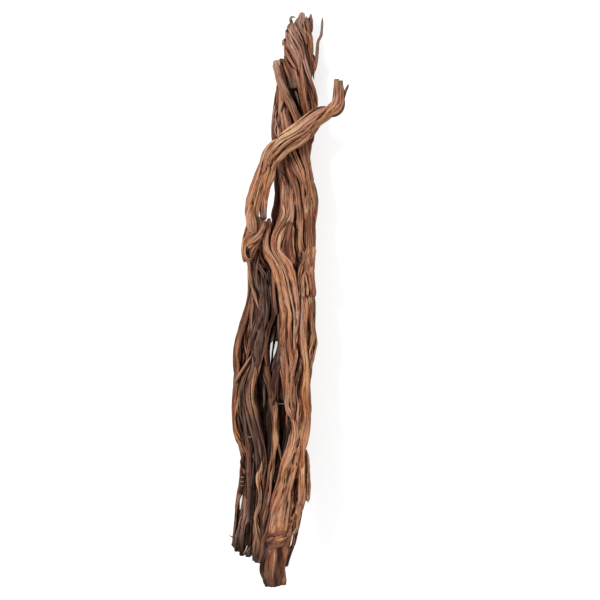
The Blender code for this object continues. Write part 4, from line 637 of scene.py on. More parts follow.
def grow(node, centre, out, a, b, colour, ends, seed, grooves=1.0, coarse=1.0, rough=1.0, cut_at_floor=False, kind="strand", back=True, wide=1.0):
    rng = np.random.default_rng(1000 + seed)
    step = np.linalg.norm(np.diff(centre, axis=0), axis=1)
    s = np.concatenate([[0], np.cumsum(step)])
    n = max(int(s[-1] / (RING * coarse)) + 1, 6)
    at = np.linspace(0, s[-1], n)
    grab = lambda x: np.stack([np.interp(at, s, x[:, c]) for c in range(x.shape[1])], 1) if x.ndim == 2 else np.interp(at, s, x)
    centre, out, a, b, colour = (grab(np.asarray(x)) for x in (centre, out, a, b, colour))
    wave = lambda k, period: noise(np.stack([at / period + seed * 3.3, np.full(n, k * 5.5), np.zeros(n)], 1), seed + k) - 0.5
    side = unit(np.cross(np.gradient(centre, axis=0), out))
    wander = rough * np.minimum(0.30 * a, 0.0026)
    centre = centre + side * (wander * wave(1, 0.045))[:, None] + out * (wander * wave(2, 0.055))[:, None]
    a = a * (1 + rough * 0.20 * wave(3, 0.04))
    b = b * (1 + rough * 0.26 * wave(4, 0.05))
    along = unit(np.gradient(centre, axis=0))
    out = unit(out - (out * along).sum(1, keepdims=True) * along)
    across = np.cross(along, out)
    perimeter = 2 * math.pi * math.sqrt(((a**2).mean() + (b**2).mean()) / 2)
    if back:                                                  # finer on the side that shows
        front = int(np.clip(round(perimeter * 0.62 / (FRONT * coarse)), 9, 70))
        rear = int(np.clip(round(perimeter * 0.38 / (BACK * coarse)), 4, 24))
        theta = np.radians(np.concatenate([np.linspace(-22, 202, front, endpoint=False), np.linspace(202, 338, rear, endpoint=False)]))
    else:
        theta = np.arange(max(int(perimeter / (FRONT * coarse)), 14)) * 2 * math.pi / max(int(perimeter / (FRONT * coarse)), 14)
    m = len(theta)
    length = s[-1]
    # ends
    end_scale = np.ones(n)
    for end, style in ((0, ends[0]), (1, ends[1])):
        d = at if end == 0 else length - at
        if style == "t":
            reach = min(0.26 * length, 0.020 + 2.2 * a.mean())
            q = np.clip(d / reach, 0, 1)
            end_scale *= np.sqrt(np.clip(1 - (1 - q) ** 2, 0.0009, 1)) * 0.985 + 0.015
        elif style == "b":
            reach = 0.012
            q = np.clip(d / reach, 0, 1)
            end_scale *= 0.55 + 0.45 * np.sqrt(1 - (1 - q) ** 2)
        elif style == "m":
            q = np.clip(d / (0.9 * a.mean() + 0.003), 0, 1)
            end_scale *= 0.25 + 0.75 * np.sqrt(1 - (1 - q) ** 2)
        elif style == "c":
            q = np.clip(d / 0.004, 0, 1)
            end_scale *= 0.86 + 0.14 * np.sqrt(1 - (1 - q) ** 2)
    S, TH = np.meshgrid(at, theta, indexing="ij")
    cos, sin = np.cos(TH), np.sin(TH)
    turn = rng.uniform(-1.2, 1.2) * S                         # the grain turns a little round the strand
    gc, gs = np.cos(TH + turn), np.sin(TH + turn)
    am, bm = a.mean(), b.mean()
    cell = np.clip(0.36 * perimeter / 2, 0.0062, 0.0115) * wide
    G1 = flutes(gc, gs, S, am, bm, cell, 0.16 * wide, 0.13, seed)
    G2 = flutes(gc, gs, S, am, bm, cell * 0.52, 0.080 * wide, 0.18, seed + 40)
    size = np.minimum(a, b)[:, None]
    g1 = grooves * G1 ** 0.8 * np.minimum(0.55 * size, 0.0050)
    g2 = grooves * G2 * np.minimum(0.20 * size, 0.0017)
    lumps = noise(np.stack([cos.ravel() * 0.9 + seed, sin.ravel() * 0.9, (S / 0.035).ravel()], 1), seed + 9).reshape(n, m) - 0.5
    fine = noise(np.stack([cos.ravel() * 3.2 + seed, sin.ravel() * 3.2, (S / 0.012).ravel()], 1), seed + 13).reshape(n, m) - 0.5
    relief = -np.maximum(g1, g2) + rough * (lumps * np.minimum(0.30 * size, 0.004) + fine * np.minimum(0.12 * size, 0.0012))
    box = 0.94 + 0.09 * np.abs(np.sin(2 * TH))                # a little squarer than an oval
    ra = (a[:, None] * end_scale[:, None] * box + relief * np.sqrt(end_scale)[:, None])
    rb = (b[:, None] * end_scale[:, None] * box + relief * np.sqrt(end_scale)[:, None])
    ra, rb = np.maximum(ra, 0.0002), np.maximum(rb, 0.0002)
    pts = centre[:, None] + across[:, None] * (cos * ra)[..., None] + out[:, None] * (sin * rb)[..., None]
    # splinters on a broken end
    for end, style in ((0, ends[0]), (1, ends[1])):
        if style == "b":
            d = at if end == 0 else length - at
            jag = noise(np.stack([np.cos(theta) * 1.9 + seed, np.sin(theta) * 1.9, np.full(m, end * 5.0)], 1), seed + 3) - 0.45
            q = np.clip(1 - d / 0.016, 0, 1)
            sign = -1 if end == 0 else 1
            pts += along[:, None] * (sign * q[:, None] * jag[None] * min(0.02, 2.2 * a.mean()))[..., None]
    cut = carve(pts, out, b * end_scale)
    # the groove mask also paints shade into the colour of the grooves and cuts
    groove = np.clip(np.maximum(np.maximum(G1 ** 0.8, 0.55 * G2), cut), 0, 1)
    grain = np.stack([gc * am + seed * 0.37, gs * bm, S], -1)
    tone = np.repeat(colour[:, None], m, 1)
    if cut_at_floor:                                          # the flat cut, at standing height 0
        low = pts[..., 2].min(1)
        ok = np.where(low > 0.0008)[0]
        last = centre[-1, 2] < centre[0, 2]
        k = ok[-1] if last else ok[0]
        keep = slice(0, k + 1) if last else slice(k, n)
        down = along[k] if last else -along[k]
        final = pts[k] + down * (-(pts[k, :, 2] / min(down[2], -0.2)))[:, None]
        final[:, 2] = 0.0
        pts, groove, grain, tone, at = pts[keep], groove[keep], grain[keep], tone[keep], at[keep]
        join = lambda x, extra: np.concatenate([x, extra]) if last else np.concatenate([extra, x])
        edge = slice(-1, None) if last else slice(0, 1)
        pts, groove, grain, tone = join(pts, final[None]), join(groove, groove[edge]), join(grain, grain[edge]), join(tone, tone[edge])
        at = np.append(at, at[-1] + RING) if last else np.insert(at, 0, at[0] - RING)
    t = Tube()
    t.pts, t.groove, t.grain, t.tone, t.at = pts, groove, grain, tone, at - at[0]
    arc = np.append(theta, theta[0] + 2 * math.pi) - theta[0]
    t.turn = arc / (2 * math.pi)
    t.around, t.ends, t.seed = perimeter, ends, seed
    tubes.setdefault(node, []).append(t)
    return t


def eye_frame(points):
    """Unit direction to the elevation's eye."""
    return unit(np.array([EYE_X, -EYE_DISTANCE, EYE_HEIGHT]) - points)


def lay_strand(node, colours, lift, ends, u, v, half, place, ratio=0.82, front=None, **more):
    """A strand on the front of a node, from its middle line and half widths
    on the elevation."""
    if front is None:
        depth = lay_depth(node, u, v, half)
        d = np.concatenate([[0], np.cumsum(np.hypot(np.diff(u), np.diff(v)))]) * 0.0033
        depth = (depth[None] + 0.65 * np.abs(d[:, None] - d[None])).min(1)      # no steep drops from stem to stem
        depth = smooth_along(depth, 13)
    else:                                                     # front given, from its first point to its last
        depth = np.interp(np.linspace(0, 1, len(u)), np.linspace(0, 1, len(front)), front)
    size = (depth + EYE_DISTANCE) / SHEET_SCALE * 0.98
    a = half * size
    b = a * ratio
    y = depth - lift * 0.001 + b
    centre, _ = from_sheet(u, v, y)
    out = eye_frame(centre)
    if colours[0] == "~":                                     # a smoother strand
        colours, more = colours[1:], dict(more, grooves=0.45)
    colour = colour_at(colours, place)
    sweep(node, centre, out, out, a * 1.05, b, colour, ends, **more)


def from_edges(rows):
    """Middle line and square-on half width, finely sampled, of (v, left, right) rows."""
    rows = np.array(rows, float)
    v = np.linspace(rows[0, 0], rows[-1, 0], max(int((rows[-1, 0] - rows[0, 0]) * 1.5), 8))
    edge = spline(rows[:, 0], rows[:, 1:], v)
    u, half = edge.mean(1), (edge[:, 1] - edge[:, 0]) / 2
    slope = np.gradient(smooth_along(u, 7), v)
    return u, v, np.maximum(half / np.sqrt(1 + slope ** 2), 0.35), v


def from_path(rows):
    rows = np.array(rows, float)
    d = np.concatenate([[0], np.cumsum(np.hypot(np.diff(rows[:, 0]), np.diff(rows[:, 1])))])
    at = np.linspace(0, d[-1], max(int(d[-1] * 1.8), 10))
    p = spline(d, rows, at)
    return p[:, 0], p[:, 1], np.maximum(p[:, 2], 0.3), at / d[-1]


for node, colours, lift, ends, rows, *front in STRANDS:
    u, v, half, place = from_edges(rows)
    lay_strand(node, colours, lift, ends, u, v, half, place, front=front or None, cut_at_floor=ends[1] == "f")
for node, colours, lift, ends, rows, *front in PATHS:
    u, v, half, place = from_path(rows)
    lay_strand(node, colours, lift, ends, u, v, half, place, front=front or None)

# ------------------------------------------------------- grooves in the front
# The deep grooves, splits and pits of the front: half width on the elevation,
# depth in mm, and the line each follows. They are cut into whatever is in front.
GROOVES = [
    # broken top
    (0.8, 4, [(293.5, 27), (296, 31), (299, 35.5)]), (1.7, 8, [(299.5, 36), (301.6, 40), (303, 44), (304.6, 48)]),
    (0.7, 4, [(304.5, 48), (305.6, 53), (306, 57)]), (0.7, 4, [(285.5, 46), (288, 50), (290.5, 54), (292.8, 58), (295, 61)]),
    (0.5, 3, [(288.5, 38), (290, 42), (292.5, 46), (294, 49)]), (0.8, 5, [(286.5, 60), (289, 63), (291, 66), (294.5, 68.5), (297, 71.3), (298.2, 75), (299.6, 79)]),
    (0.7, 3, [(298, 50.5), (298.2, 54)]), (0.6, 4, [(301.5, 60), (302.5, 64), (304.5, 70), (306.5, 76), (308.5, 82), (311, 88), (313, 95), (314.5, 102), (315.5, 107)]),
    (0.7, 4, [(300, 63), (299.6, 68), (300, 74), (302, 80), (304, 86), (306, 92), (307.5, 98), (309, 104), (310, 110)]),
    (0.7, 4, [(306.5, 50), (306.6, 54), (307.5, 60), (309, 65), (311, 70), (312, 77)]), (0.5, 3, [(311, 44), (311, 50), (312, 56), (313.5, 62)]),
    (1.0, 6, [(302.3, 23.5), (302.8, 28.5)]), (0.6, 3, [(299.4, 80), (301, 86), (300.2, 92), (301, 98), (303, 105), (304, 110)]),
    (1.3, 6, [(279, 64.5), (281.6, 70), (284.2, 77), (286.6, 83), (289, 88), (291.5, 94), (294, 100), (297, 107)]),
    (0.6, 3, [(281, 90), (283, 94), (285, 99), (286.5, 104), (289, 110), (291, 116)]),
    (0.6, 3, [(286, 33), (288, 36)]), (0.6, 3, [(291, 29), (293, 34), (294, 40)]), (0.5, 3, [(296.5, 52), (296.6, 58)]),
    # the crossing limb
    (0.6, 4, [(330, 103.5), (325, 106.2), (319, 107.8), (313, 110.8), (308, 115.2), (304, 119.2), (300, 122.4), (296, 126), (291, 129.6), (286, 132.4)]),
    (0.6, 4, [(331, 104.5), (328, 108.3), (324, 113), (319, 118)]), (0.9, 5, [(319, 118), (315, 123), (311, 128), (307, 132), (303, 135)]),
    (0.7, 4, [(303, 135), (299, 137.5), (294, 140), (290, 142.5), (286, 146), (283, 150), (279, 154), (276, 158), (274.2, 163)]),
    (0.7, 4, [(289, 138), (285, 141), (281, 145), (278, 149), (274, 152), (270.5, 152.6)]), (0.5, 3, [(284, 133.6), (279, 136), (276, 138)]),
    (0.8, 4, [(274.5, 143.5), (271.8, 147), (270.2, 151)]), (0.7, 4, [(270, 154), (269.4, 159), (268.8, 164), (268.2, 169)]),
    (0.7, 4, [(263, 158), (262.5, 163), (261.5, 168), (260, 173.5), (258.5, 180), (256.5, 187)]),
    (0.5, 3, [(305, 123), (301, 127)]), (0.5, 2.5, [(300, 130), (294, 134)]), (0.6, 3, [(302, 141), (296, 144), (290, 147.4)]),
    (0.6, 3, [(267, 171), (265.5, 177), (263.8, 184), (262.2, 190), (260.5, 197), (259.6, 204)]), (0.7, 4, [(264.6, 188), (263.2, 195), (261.6, 201)]),
    (0.7, 4, [(253.6, 200), (252.5, 205), (250.6, 210), (249, 214.6)]), (0.6, 3, [(256, 188), (254.4, 194), (252.6, 200)]), (0.5, 3, [(268.6, 186), (267, 194), (265.6, 202)]),
    (0.6, 3, [(338.4, 84), (338.8, 92), (338.2, 100), (335, 107), (331, 112)]), (0.5, 3, [(335.4, 84), (335.4, 92), (335.4, 99)]), (0.6, 3, [(341, 92), (341.4, 99), (339.4, 106), (335, 111)]),
    # below the crossing
    (0.6, 4, [(286, 155), (288, 160), (289.5, 165), (291.5, 170), (294, 176), (296, 183)]), (0.7, 4, [(288, 152), (291, 157), (294, 162), (296.5, 168), (299.5, 175), (301.5, 181), (302, 187)]),
    (0.6, 4, [(293, 151), (295, 155), (298, 161), (300.5, 166), (303, 172)]), (0.8, 5, [(281, 171), (284, 174), (287, 178), (289, 183), (291.5, 187), (293.5, 192), (294.4, 200)]),
    (0.7, 4, [(280, 174), (283, 180), (286, 186), (287.5, 192), (288, 200), (287.8, 209)]), (0.6, 3, [(310, 160), (309.2, 168), (310, 176), (312, 184), (315, 193), (317, 200), (316.4, 209), (314.2, 217)]),
    (0.6, 3, [(304, 172), (305, 180), (305.6, 188)]), (1.0, 5, [(305.2, 189.5), (305.2, 198)]), (0.7, 4, [(300, 182), (300.5, 190), (301, 198), (302, 206), (303.5, 215)]),
    (0.8, 4, [(274, 113), (275, 120)]), (0.7, 4, [(279, 112), (279.2, 119.5)]), (0.6, 3, [(277, 120), (279, 127)]), (0.5, 3, [(284, 105), (286, 112), (288, 118), (292, 123)]),
    (0.5, 3, [(283, 108), (282.5, 116), (284, 124), (286, 129)]),
    (0.7, 5, [(294.5, 196), (295, 203)]), (1.0, 6, [(295, 203), (295.3, 209), (295.5, 216), (295.3, 223)]), (0.6, 3, [(295.3, 223), (295.6, 231), (295.8, 240)]),
    (0.5, 3, [(298.4, 206), (298.6, 216), (299, 226), (299.4, 236)]), (0.5, 3, [(309, 205), (309.2, 215), (309, 226), (309.6, 236)]),
    (0.6, 4, [(288.5, 151), (290.5, 158), (293.2, 165), (296.6, 171.5), (299.6, 178), (300.4, 186)]), (0.5, 3, [(284.4, 152), (287.4, 160), (289.8, 168), (292.4, 176)]),
    (0.6, 4, [(297, 149), (299.4, 156), (302.2, 163), (304.8, 170), (306.4, 177)]),
    # the winding stem and the front stem
    (0.75, 5, [(287.3, 214), (284.8, 219), (281.5, 223.5), (278.5, 228), (275.8, 233), (274.2, 239), (274.2, 245), (275.2, 251), (277.6, 256), (280.8, 260), (284, 264), (286.6, 269), (288.2, 275),
                   (289.6, 281), (291, 288), (292.6, 294), (293.6, 300), (294.5, 307), (295.4, 314), (295.8, 322), (296, 330)]),
    (0.5, 3, [(281.5, 220), (277.5, 225), (274.2, 230.5), (272, 237), (271.3, 243), (272, 249.6), (274.6, 254.6), (278, 259), (281, 263.4), (284.4, 269)]),
    (0.5, 3, [(283, 270), (285.4, 277), (287, 285), (288.4, 293), (290.4, 301), (292.4, 309)]),
    (0.8, 5, [(262, 247), (264.5, 252), (268, 256), (272, 260), (275, 265), (277.6, 270), (279.5, 277), (280.6, 284), (281.6, 291), (283, 298), (285, 305), (287.2, 311.5), (286.6, 318), (286.3, 326), (286.5, 334), (286, 341)]),
    (1.0, 6, [(276, 281), (276.6, 290), (277, 298), (277.6, 304), (279.2, 310), (280.6, 316)]), (0.6, 3, [(269.6, 232), (270, 240), (270.6, 247)]), (0.5, 3, [(265.6, 238), (266.4, 246)]),
    (0.6, 4, [(273.4, 268), (275, 275), (276, 281)]), (0.5, 3, [(281.6, 300), (283.4, 307)]),
    # the recess and the knotty stem
    (0.9, 6, [(293, 229), (294, 235), (295, 241), (294.5, 247), (295.6, 252), (296.5, 257)]), (1.1, 7, [(296.4, 257), (296, 262), (296.3, 268)]),
    (0.7, 4, [(286.5, 231), (283.8, 237), (281.8, 243), (280.6, 248), (281.2, 252.5)]), (0.6, 3, [(287.5, 236), (285.5, 243), (284, 250)]), (0.6, 3, [(291.4, 229), (292.2, 236), (291.8, 243)]),
    (0.7, 4, [(303.5, 215), (303.8, 225), (303.5, 235), (304, 243), (305.5, 250), (307.5, 254), (309, 258), (311, 263), (312, 269)]), (0.7, 4, [(293.8, 252), (294.6, 258), (294.8, 264)]),
    (1.4, 6, [(300, 256.4), (300.4, 259)]), (1.1, 6, [(305.6, 281), (306, 288.6)]), (0.8, 4, [(298.5, 284), (299, 293)]), (0.7, 4, [(306, 264), (304, 270), (302.4, 277)]),
    (0.6, 3, [(310.6, 270), (311.4, 278), (312.6, 286), (313, 293)]), (0.6, 4, [(302.6, 284), (302.8, 295)]),
    # the knot
    (0.8, 5, [(247.4, 238.6), (251, 236.2), (254.5, 233.4), (257.6, 231)]), (1.0, 6, [(260.4, 239), (257, 242), (253.4, 245), (250, 247.8)]), (1.4, 7, [(247.8, 250.6), (248.2, 255.6)]),
    (0.8, 4, [(264.6, 220), (266.2, 224.6), (265.6, 229), (263.4, 232.4), (262.4, 236), (261, 240.4)]), (0.6, 3, [(245.8, 243.4), (248.2, 240.8)]), (0.6, 3, [(253.6, 226), (256.6, 223)]),
    (1.0, 5, [(258.6, 248), (259, 254), (260, 258)]), (0.9, 5, [(261.6, 255.6), (265, 259.4)]),
    # the trunk's middle
    (0.6, 3, [(281, 318), (280.5, 326), (280, 334), (281.5, 342), (281.5, 349)]), (0.6, 4, [(292.5, 310), (292.8, 320), (292.5, 330), (292.5, 340), (292.5, 350), (293.5, 356), (294, 362)]),
    (0.9, 5, [(298, 324), (298.3, 332), (299, 339)]), (1.2, 6, [(295.8, 341.5), (298, 347), (300, 352.4)]), (0.9, 5, [(301, 354.6), (301.4, 358.4)]),
    (1.0, 6, [(308.5, 313), (308, 320), (308.3, 327), (309.5, 334), (308.6, 341), (308, 346.5)]), (0.7, 4, [(312, 298), (311.5, 306), (312, 312), (313.5, 319)]), (0.5, 3, [(316, 331), (316.3, 340)]),
    (0.8, 5, [(314.6, 340), (313, 346), (311, 352), (310.5, 356.5)]), (0.6, 3, [(300.5, 305), (300.8, 314)]), (0.5, 3, [(304, 318), (304.4, 330), (305, 342)]), (0.5, 3, [(283.6, 326), (283.6, 338), (284, 350)]),
    (0.7, 5, [(300, 360), (298.5, 366), (296.5, 372), (294.6, 378), (293.5, 385), (292.5, 392), (292, 400)]), (1.3, 6, [(292.2, 400), (293.6, 405.4), (295, 409.6)]),
    (1.15, 7, [(303, 364), (302.5, 371), (301, 378), (300, 385), (299.6, 392), (301, 399), (302.3, 406), (302.3, 413), (301.3, 420), (300.8, 425.4)]),
    (0.7, 4, [(289.6, 371), (289.5, 378), (289, 385)]), (0.9, 5, [(290, 401.6), (289.6, 405.4)]), (0.7, 4, [(294.5, 415.6), (295, 421.4)]), (0.6, 4, [(287.6, 351), (288, 358), (289, 365)]),
    (0.6, 3, [(297, 420), (299.6, 427), (300.2, 433)]), (0.5, 3, [(287.4, 390), (287.2, 398)]), (0.5, 2.5, [(305.6, 378), (305.4, 392), (306, 404)]), (0.5, 2.5, [(307.6, 408), (306.6, 420), (306, 430)]),
    # low trunk
    (0.7, 4, [(296, 443.4), (299, 438.4), (301, 434)]), (0.8, 4, [(297, 456.6), (297.3, 461.4)]), (1.0, 5, [(293.2, 466.6), (292.6, 472.6)]), (0.9, 5, [(299, 464.6), (299, 471), (298, 477)]),
    (1.9, 11, [(298, 477), (296.4, 483), (295.4, 490), (296, 497), (295.4, 505)]), (1.3, 8, [(295.4, 505), (293.4, 511), (291.4, 517)]), (1.0, 6, [(306, 450), (306.5, 458), (306.5, 466), (307, 474)]),
    (1.0, 5, [(308.5, 480), (308, 488), (307.8, 497)]), (0.8, 4, [(286.6, 495.6), (285, 502), (283.5, 508), (282.4, 514)]), (0.9, 4, [(292, 488.6), (291, 493.4)]), (0.6, 3, [(280, 490), (279.4, 495)]),
    (0.6, 3, [(274, 528), (275.5, 523), (278, 519), (280, 515)]), (0.9, 5, [(278.7, 526.6), (278.7, 530)]), (1.2, 6, [(291, 519.4), (291, 523)]), (0.6, 4, [(282, 518), (282, 524.6)]),
    (0.8, 4, [(288.6, 522), (288.6, 529.6)]), (0.9, 5, [(298.6, 504.4), (303.6, 505.6)]), (0.6, 4, [(300, 511), (301, 517)]), (0.7, 3, [(286, 470), (284.6, 478), (284, 486)]), (0.5, 3, [(303, 470), (302.6, 482), (302.4, 494)]),
    (0.6, 3, [(294.6, 446), (292.4, 454), (289.4, 462)]), (0.6, 3, [(300.6, 444), (300.4, 454)]), (0.6, 3, [(297.6, 515), (295.4, 520)]), (0.6, 3, [(293.6, 525), (296.6, 528)]), (0.7, 4, [(285, 516), (284, 524)]),
    (0.6, 3, [(277, 502), (275.4, 510), (273.6, 518)]), (0.5, 3, [(279.4, 508), (277.6, 514)]),
    # foot
    (1.0, 5, [(285, 533.6), (284, 541.6)]), (1.0, 5, [(290, 536.6), (293, 533)]), (0.9, 5, [(280.6, 545.6), (280, 551.6)]), (0.6, 3, [(276, 552), (275.5, 560), (272.4, 568)]), (0.7, 4, [(279, 555), (278.6, 561)]),
    (0.7, 4, [(280.6, 568), (280.6, 577)]), (1.2, 5, [(263, 540), (266, 545), (267, 550)]), (0.7, 4, [(270, 553), (268.6, 562), (268, 572), (269, 581)]), (0.7, 4, [(265, 556), (263.4, 566), (264.4, 576)]),
    (0.7, 4, [(274.6, 570), (275, 583)]), (0.6, 4, [(284, 556), (283, 566)]), (0.6, 3, [(272, 543), (277, 541.6), (282, 540)]),
    # left side
    (0.9, 5, [(252, 261), (252.5, 268), (252.5, 276), (254, 282), (256, 288), (258, 294), (259.4, 301)]), (0.7, 4, [(257, 268), (259, 273), (260, 280), (261, 288), (262, 296)]),
    (0.9, 5, [(265, 262), (267, 267), (268.5, 272), (269.5, 279), (269.5, 287)]), (0.8, 4, [(264.6, 272), (265, 280)]), (0.8, 4, [(264, 290), (265, 298), (265, 306), (265.6, 315)]), (0.8, 4, [(270.5, 304), (271.6, 313)]),
    (0.8, 4, [(251, 291), (253, 297), (255, 302.4)]), (0.7, 4, [(257, 309), (257, 319)]), (0.9, 5, [(250, 315), (249.5, 324), (250, 332), (250, 339)]), (0.6, 3, [(267.4, 284), (267.8, 296), (268.6, 304)]),
    (0.6, 3, [(256.4, 276), (258.6, 284), (259.4, 291)]), (0.6, 3, [(261.4, 302), (260.8, 312), (258, 320)]), (0.7, 4, [(262.4, 316), (263, 326), (262, 334)]),
    (1.0, 6, [(260, 322), (258.5, 329), (256, 335), (254, 341), (252.8, 347), (253, 354), (254.6, 361)]), (0.7, 4, [(267, 321), (266.5, 328), (265.5, 334), (264, 341)]), (1.2, 6, [(275.5, 317), (276, 328), (275.4, 337)]),
    (1.0, 5, [(243.5, 333), (242.5, 342), (242, 350), (242, 357)]), (0.6, 3, [(259, 340), (259.6, 350), (259.4, 360)]), (0.6, 3, [(247, 338), (247, 348)]),
    (1.1, 6, [(250.6, 360), (247, 366.4), (243.5, 372.4), (240.5, 377.6), (237.4, 382)]), (0.9, 5, [(248.5, 377), (247, 385), (246, 392), (245.5, 400), (246.5, 407), (248.5, 414), (250.5, 421), (252, 430)]),
    (0.9, 5, [(255.5, 381), (254.5, 390), (255, 398), (256.5, 406), (258.5, 413), (259.6, 421)]), (1.2, 6, [(261, 379), (261.5, 388), (262, 397)]), (0.8, 4, [(266, 384), (267, 392), (268.5, 401)]),
    (0.6, 3, [(238.5, 403), (238.5, 411)]), (0.9, 5, [(239, 415), (241, 422), (243, 428), (245, 436)]), (0.7, 4, [(236, 415), (237, 423), (240, 431)]), (0.6, 3, [(251, 384), (250, 394), (250.8, 404)]),
    (0.6, 3, [(242.6, 388), (242.4, 400), (242.8, 410)]), (1.1, 6, [(277, 448.6), (277.5, 456), (277, 463.6)]), (1.0, 5, [(245, 455.6), (245.5, 462.6)]), (0.9, 5, [(257, 435), (257.5, 444), (258.5, 452), (260, 460), (258.5, 466), (256, 473), (255.5, 482)]),
    (0.6, 3, [(262, 440), (264, 450), (265.4, 460)]), (0.5, 2.5, [(276, 410), (275.6, 422), (275.8, 434)]), (0.7, 4, [(262.5, 511), (262, 520), (263.5, 531)]), (0.6, 3, [(256, 534), (256.5, 544)]),
    (0.8, 4, [(239, 511), (238.5, 520), (236.6, 531)]), (1.2, 5, [(250, 524), (249.6, 536)]), (0.5, 3, [(258.6, 476), (260, 488), (260.4, 500)]), (0.6, 3, [(246.6, 480), (246.6, 492)]), (0.6, 3, [(246, 512), (244.4, 524), (243, 534)]),
]
GRID_U, GRID_V, FINE = 222.0, 2.0, 0.2


def groove_map():
    """Depth of cut in metres over the elevation."""
    cut = np.zeros((int(592 / FINE), int(136 / FINE)))
    for half, depth, line in GROOVES:
        line = np.array(line, float)
        d = np.concatenate([[0], np.cumsum(np.hypot(*np.diff(line, axis=0).T))])
        at = np.arange(0, d[-1] + 0.2, 0.25)
        p = spline(d, line, np.minimum(at, d[-1])) if len(line) > 2 else np.stack([np.interp(at, d, line[:, c]) for c in (0, 1)], 1)
        end = np.minimum(at, d[-1] - at)
        taper = np.clip(end / min(5.0, 0.35 * d[-1] + 0.3), 0, 1) ** 0.6
        wobble = noise(np.stack([at / 3.1, 0 * at + half * 9, 0 * at + line[0, 0]], 1), 5)
        for (u, v), t, w in zip(p, taper, wobble):
            r = half * (0.45 + 0.55 * t) * (0.8 + 0.5 * w)
            k = int(r / FINE) + 2
            i, j = int((v - GRID_V) / FINE), int((u - GRID_U) / FINE)
            i0, i1, j0, j1 = max(i - k, 0), min(i + k + 1, cut.shape[0]), max(j - k, 0), min(j + k + 1, cut.shape[1])
            if i0 >= i1 or j0 >= j1:
                continue
            vv = (np.arange(i0, i1) * FINE + GRID_V - v)[:, None]
            uu = (np.arange(j0, j1) * FINE + GRID_U - u)[None]
            profile = np.clip(1.15 - np.hypot(uu, vv) / r, 0, 1) * depth * 0.001 * (0.25 + 0.75 * t)
            cut[i0:i1, j0:j1] = np.maximum(cut[i0:i1, j0:j1], profile)
    return cut


def on_sheet(p):
    """Where standing points show on the elevation."""
    c, s = math.cos(EYE_PITCH), math.sin(EYE_PITCH)
    z, d = p[..., 2] - EYE_HEIGHT, p[..., 1] + EYE_DISTANCE
    ahead = d * c - z * s
    return SHEET_MIDDLE + (p[..., 0] - EYE_X) / ahead * SHEET_SCALE, SHEET_MIDDLE - (z * c + d * s) / ahead * SHEET_SCALE


def look_up(grid, u, v, fine):
    i = np.clip(((v - GRID_V) / fine).astype(int), 0, grid.shape[0] - 1)
    j = np.clip(((u - GRID_U) / fine).astype(int), 0, grid.shape[1] - 1)
    return grid[i, j]


CUT_MAP = groove_map()
front_map = None


def carve(pts, out, b):
    """Cuts the grooves into the skin points that are in front. Returns how
    far each point is inside one, 0 to 1."""
    u, v = on_sheet(pts)
    depth = look_up(CUT_MAP, u, v, FINE)
    near = pts[..., 1] < look_up(front_map, u, v, 1.0) + 0.012
    to_eye = unit(np.array([EYE_X, -EYE_DISTANCE, EYE_HEIGHT]) - pts)
    facing = np.clip(((pts - pts.mean(1, keepdims=True)) * to_eye).sum(-1) / np.maximum(b[:, None], 1e-4) * 1.6 + 0.25, 0, 1)
    depth = np.minimum(depth * near * facing, 1.3 * b[:, None])
    pts -= to_eye * depth[..., None]
    # how deep each point lies in a groove; the material paints shade into the colour by it
    return np.clip(depth / 0.0030, 0, 1)



# ------------------------------------------------- cores, and the other sides
LIGHT = ["M", "O", "T", "M", "R", "P", "B"]
DARK = ["G", "B", "M", "D", "G", "R", "M"]
# node: colour of its core, colours of its side strands, from and to which
# bearing they cover (0 right, 90 back, 180 left, 270 front), how many round
SIDES_OF = {
    "main_trunk": ("P0 M.15 M.3 M.5 O.58 T.75 O.87 R.92 B.95 D1", LIGHT, -5, 185, 5), "right_branch": ("O", LIGHT, 25, 180, 3),
    "thin_right_foot": ("B", DARK, 50, 170, 1), "front_stem": ("M", LIGHT, 0, 180, 3),
    "winding_stem": ("M", LIGHT, 0, 180, 2), "centre_stem": ("P0 M.5 R1", LIGHT, 0, 180, 3),
    "broken_stem": ("M", LIGHT, -10, 190, 4), "ribbon_stem": ("M", LIGHT, 0, 180, 3),
    "crown_stem": ("P0 M.3 B1", LIGHT, 0, 180, 4), "left_knot": ("M", LIGHT, 0, 180, 4),
    "loop_limb_left": ("M", LIGHT, 0, 180, 4), "loop_limb_right": ("M", LIGHT, 0, 180, 3),
    "left_outer_stem": ("B", DARK, 5, 190, 3), "left_thin_shoot": ("B", DARK, 10, 170, 2),
    "left_middle_stem": ("D", DARK, 0, 180, 3), "left_front_stem": ("D", DARK, 0, 180, 3),
    "left_inner_stem": ("B", DARK, 0, 180, 3), "left_rear_strand": ("B", DARK, 0, 180, 3),
    # painted shade: the near-black cores of the inner and rear stems keep the hollows of the clump dark
    "inner_stem": ("K", DARK, -100, 260, 6), "rear_left_stem": ("K", DARK, -180, 180, 9),
    "rear_middle_stem": ("K", DARK, -180, 180, 8), "rear_right_stem": ("B", LIGHT, -180, 180, 9),
}
CORE_AT = {"main_trunk": 0.91, "left_middle_stem": 0.86, "left_front_stem": 0.86, "left_inner_stem": 0.86, "left_outer_stem": 0.88, "left_knot": 0.80, "thin_right_foot": 0.72, "left_thin_shoot": 0.55}
LOW_DARK = {"main_trunk", "thin_right_foot"}



def track(stem, z):
    """Middle and half width at heights z. The thin right foot keeps close behind the trunk."""
    x, y, r = stem.at(z).T
    if stem is stems["thin_right_foot"]:
        x = x - 0.014 * np.exp(-((z - 0.205) / 0.07) ** 2)
    return np.stack([x, y, r], 1)


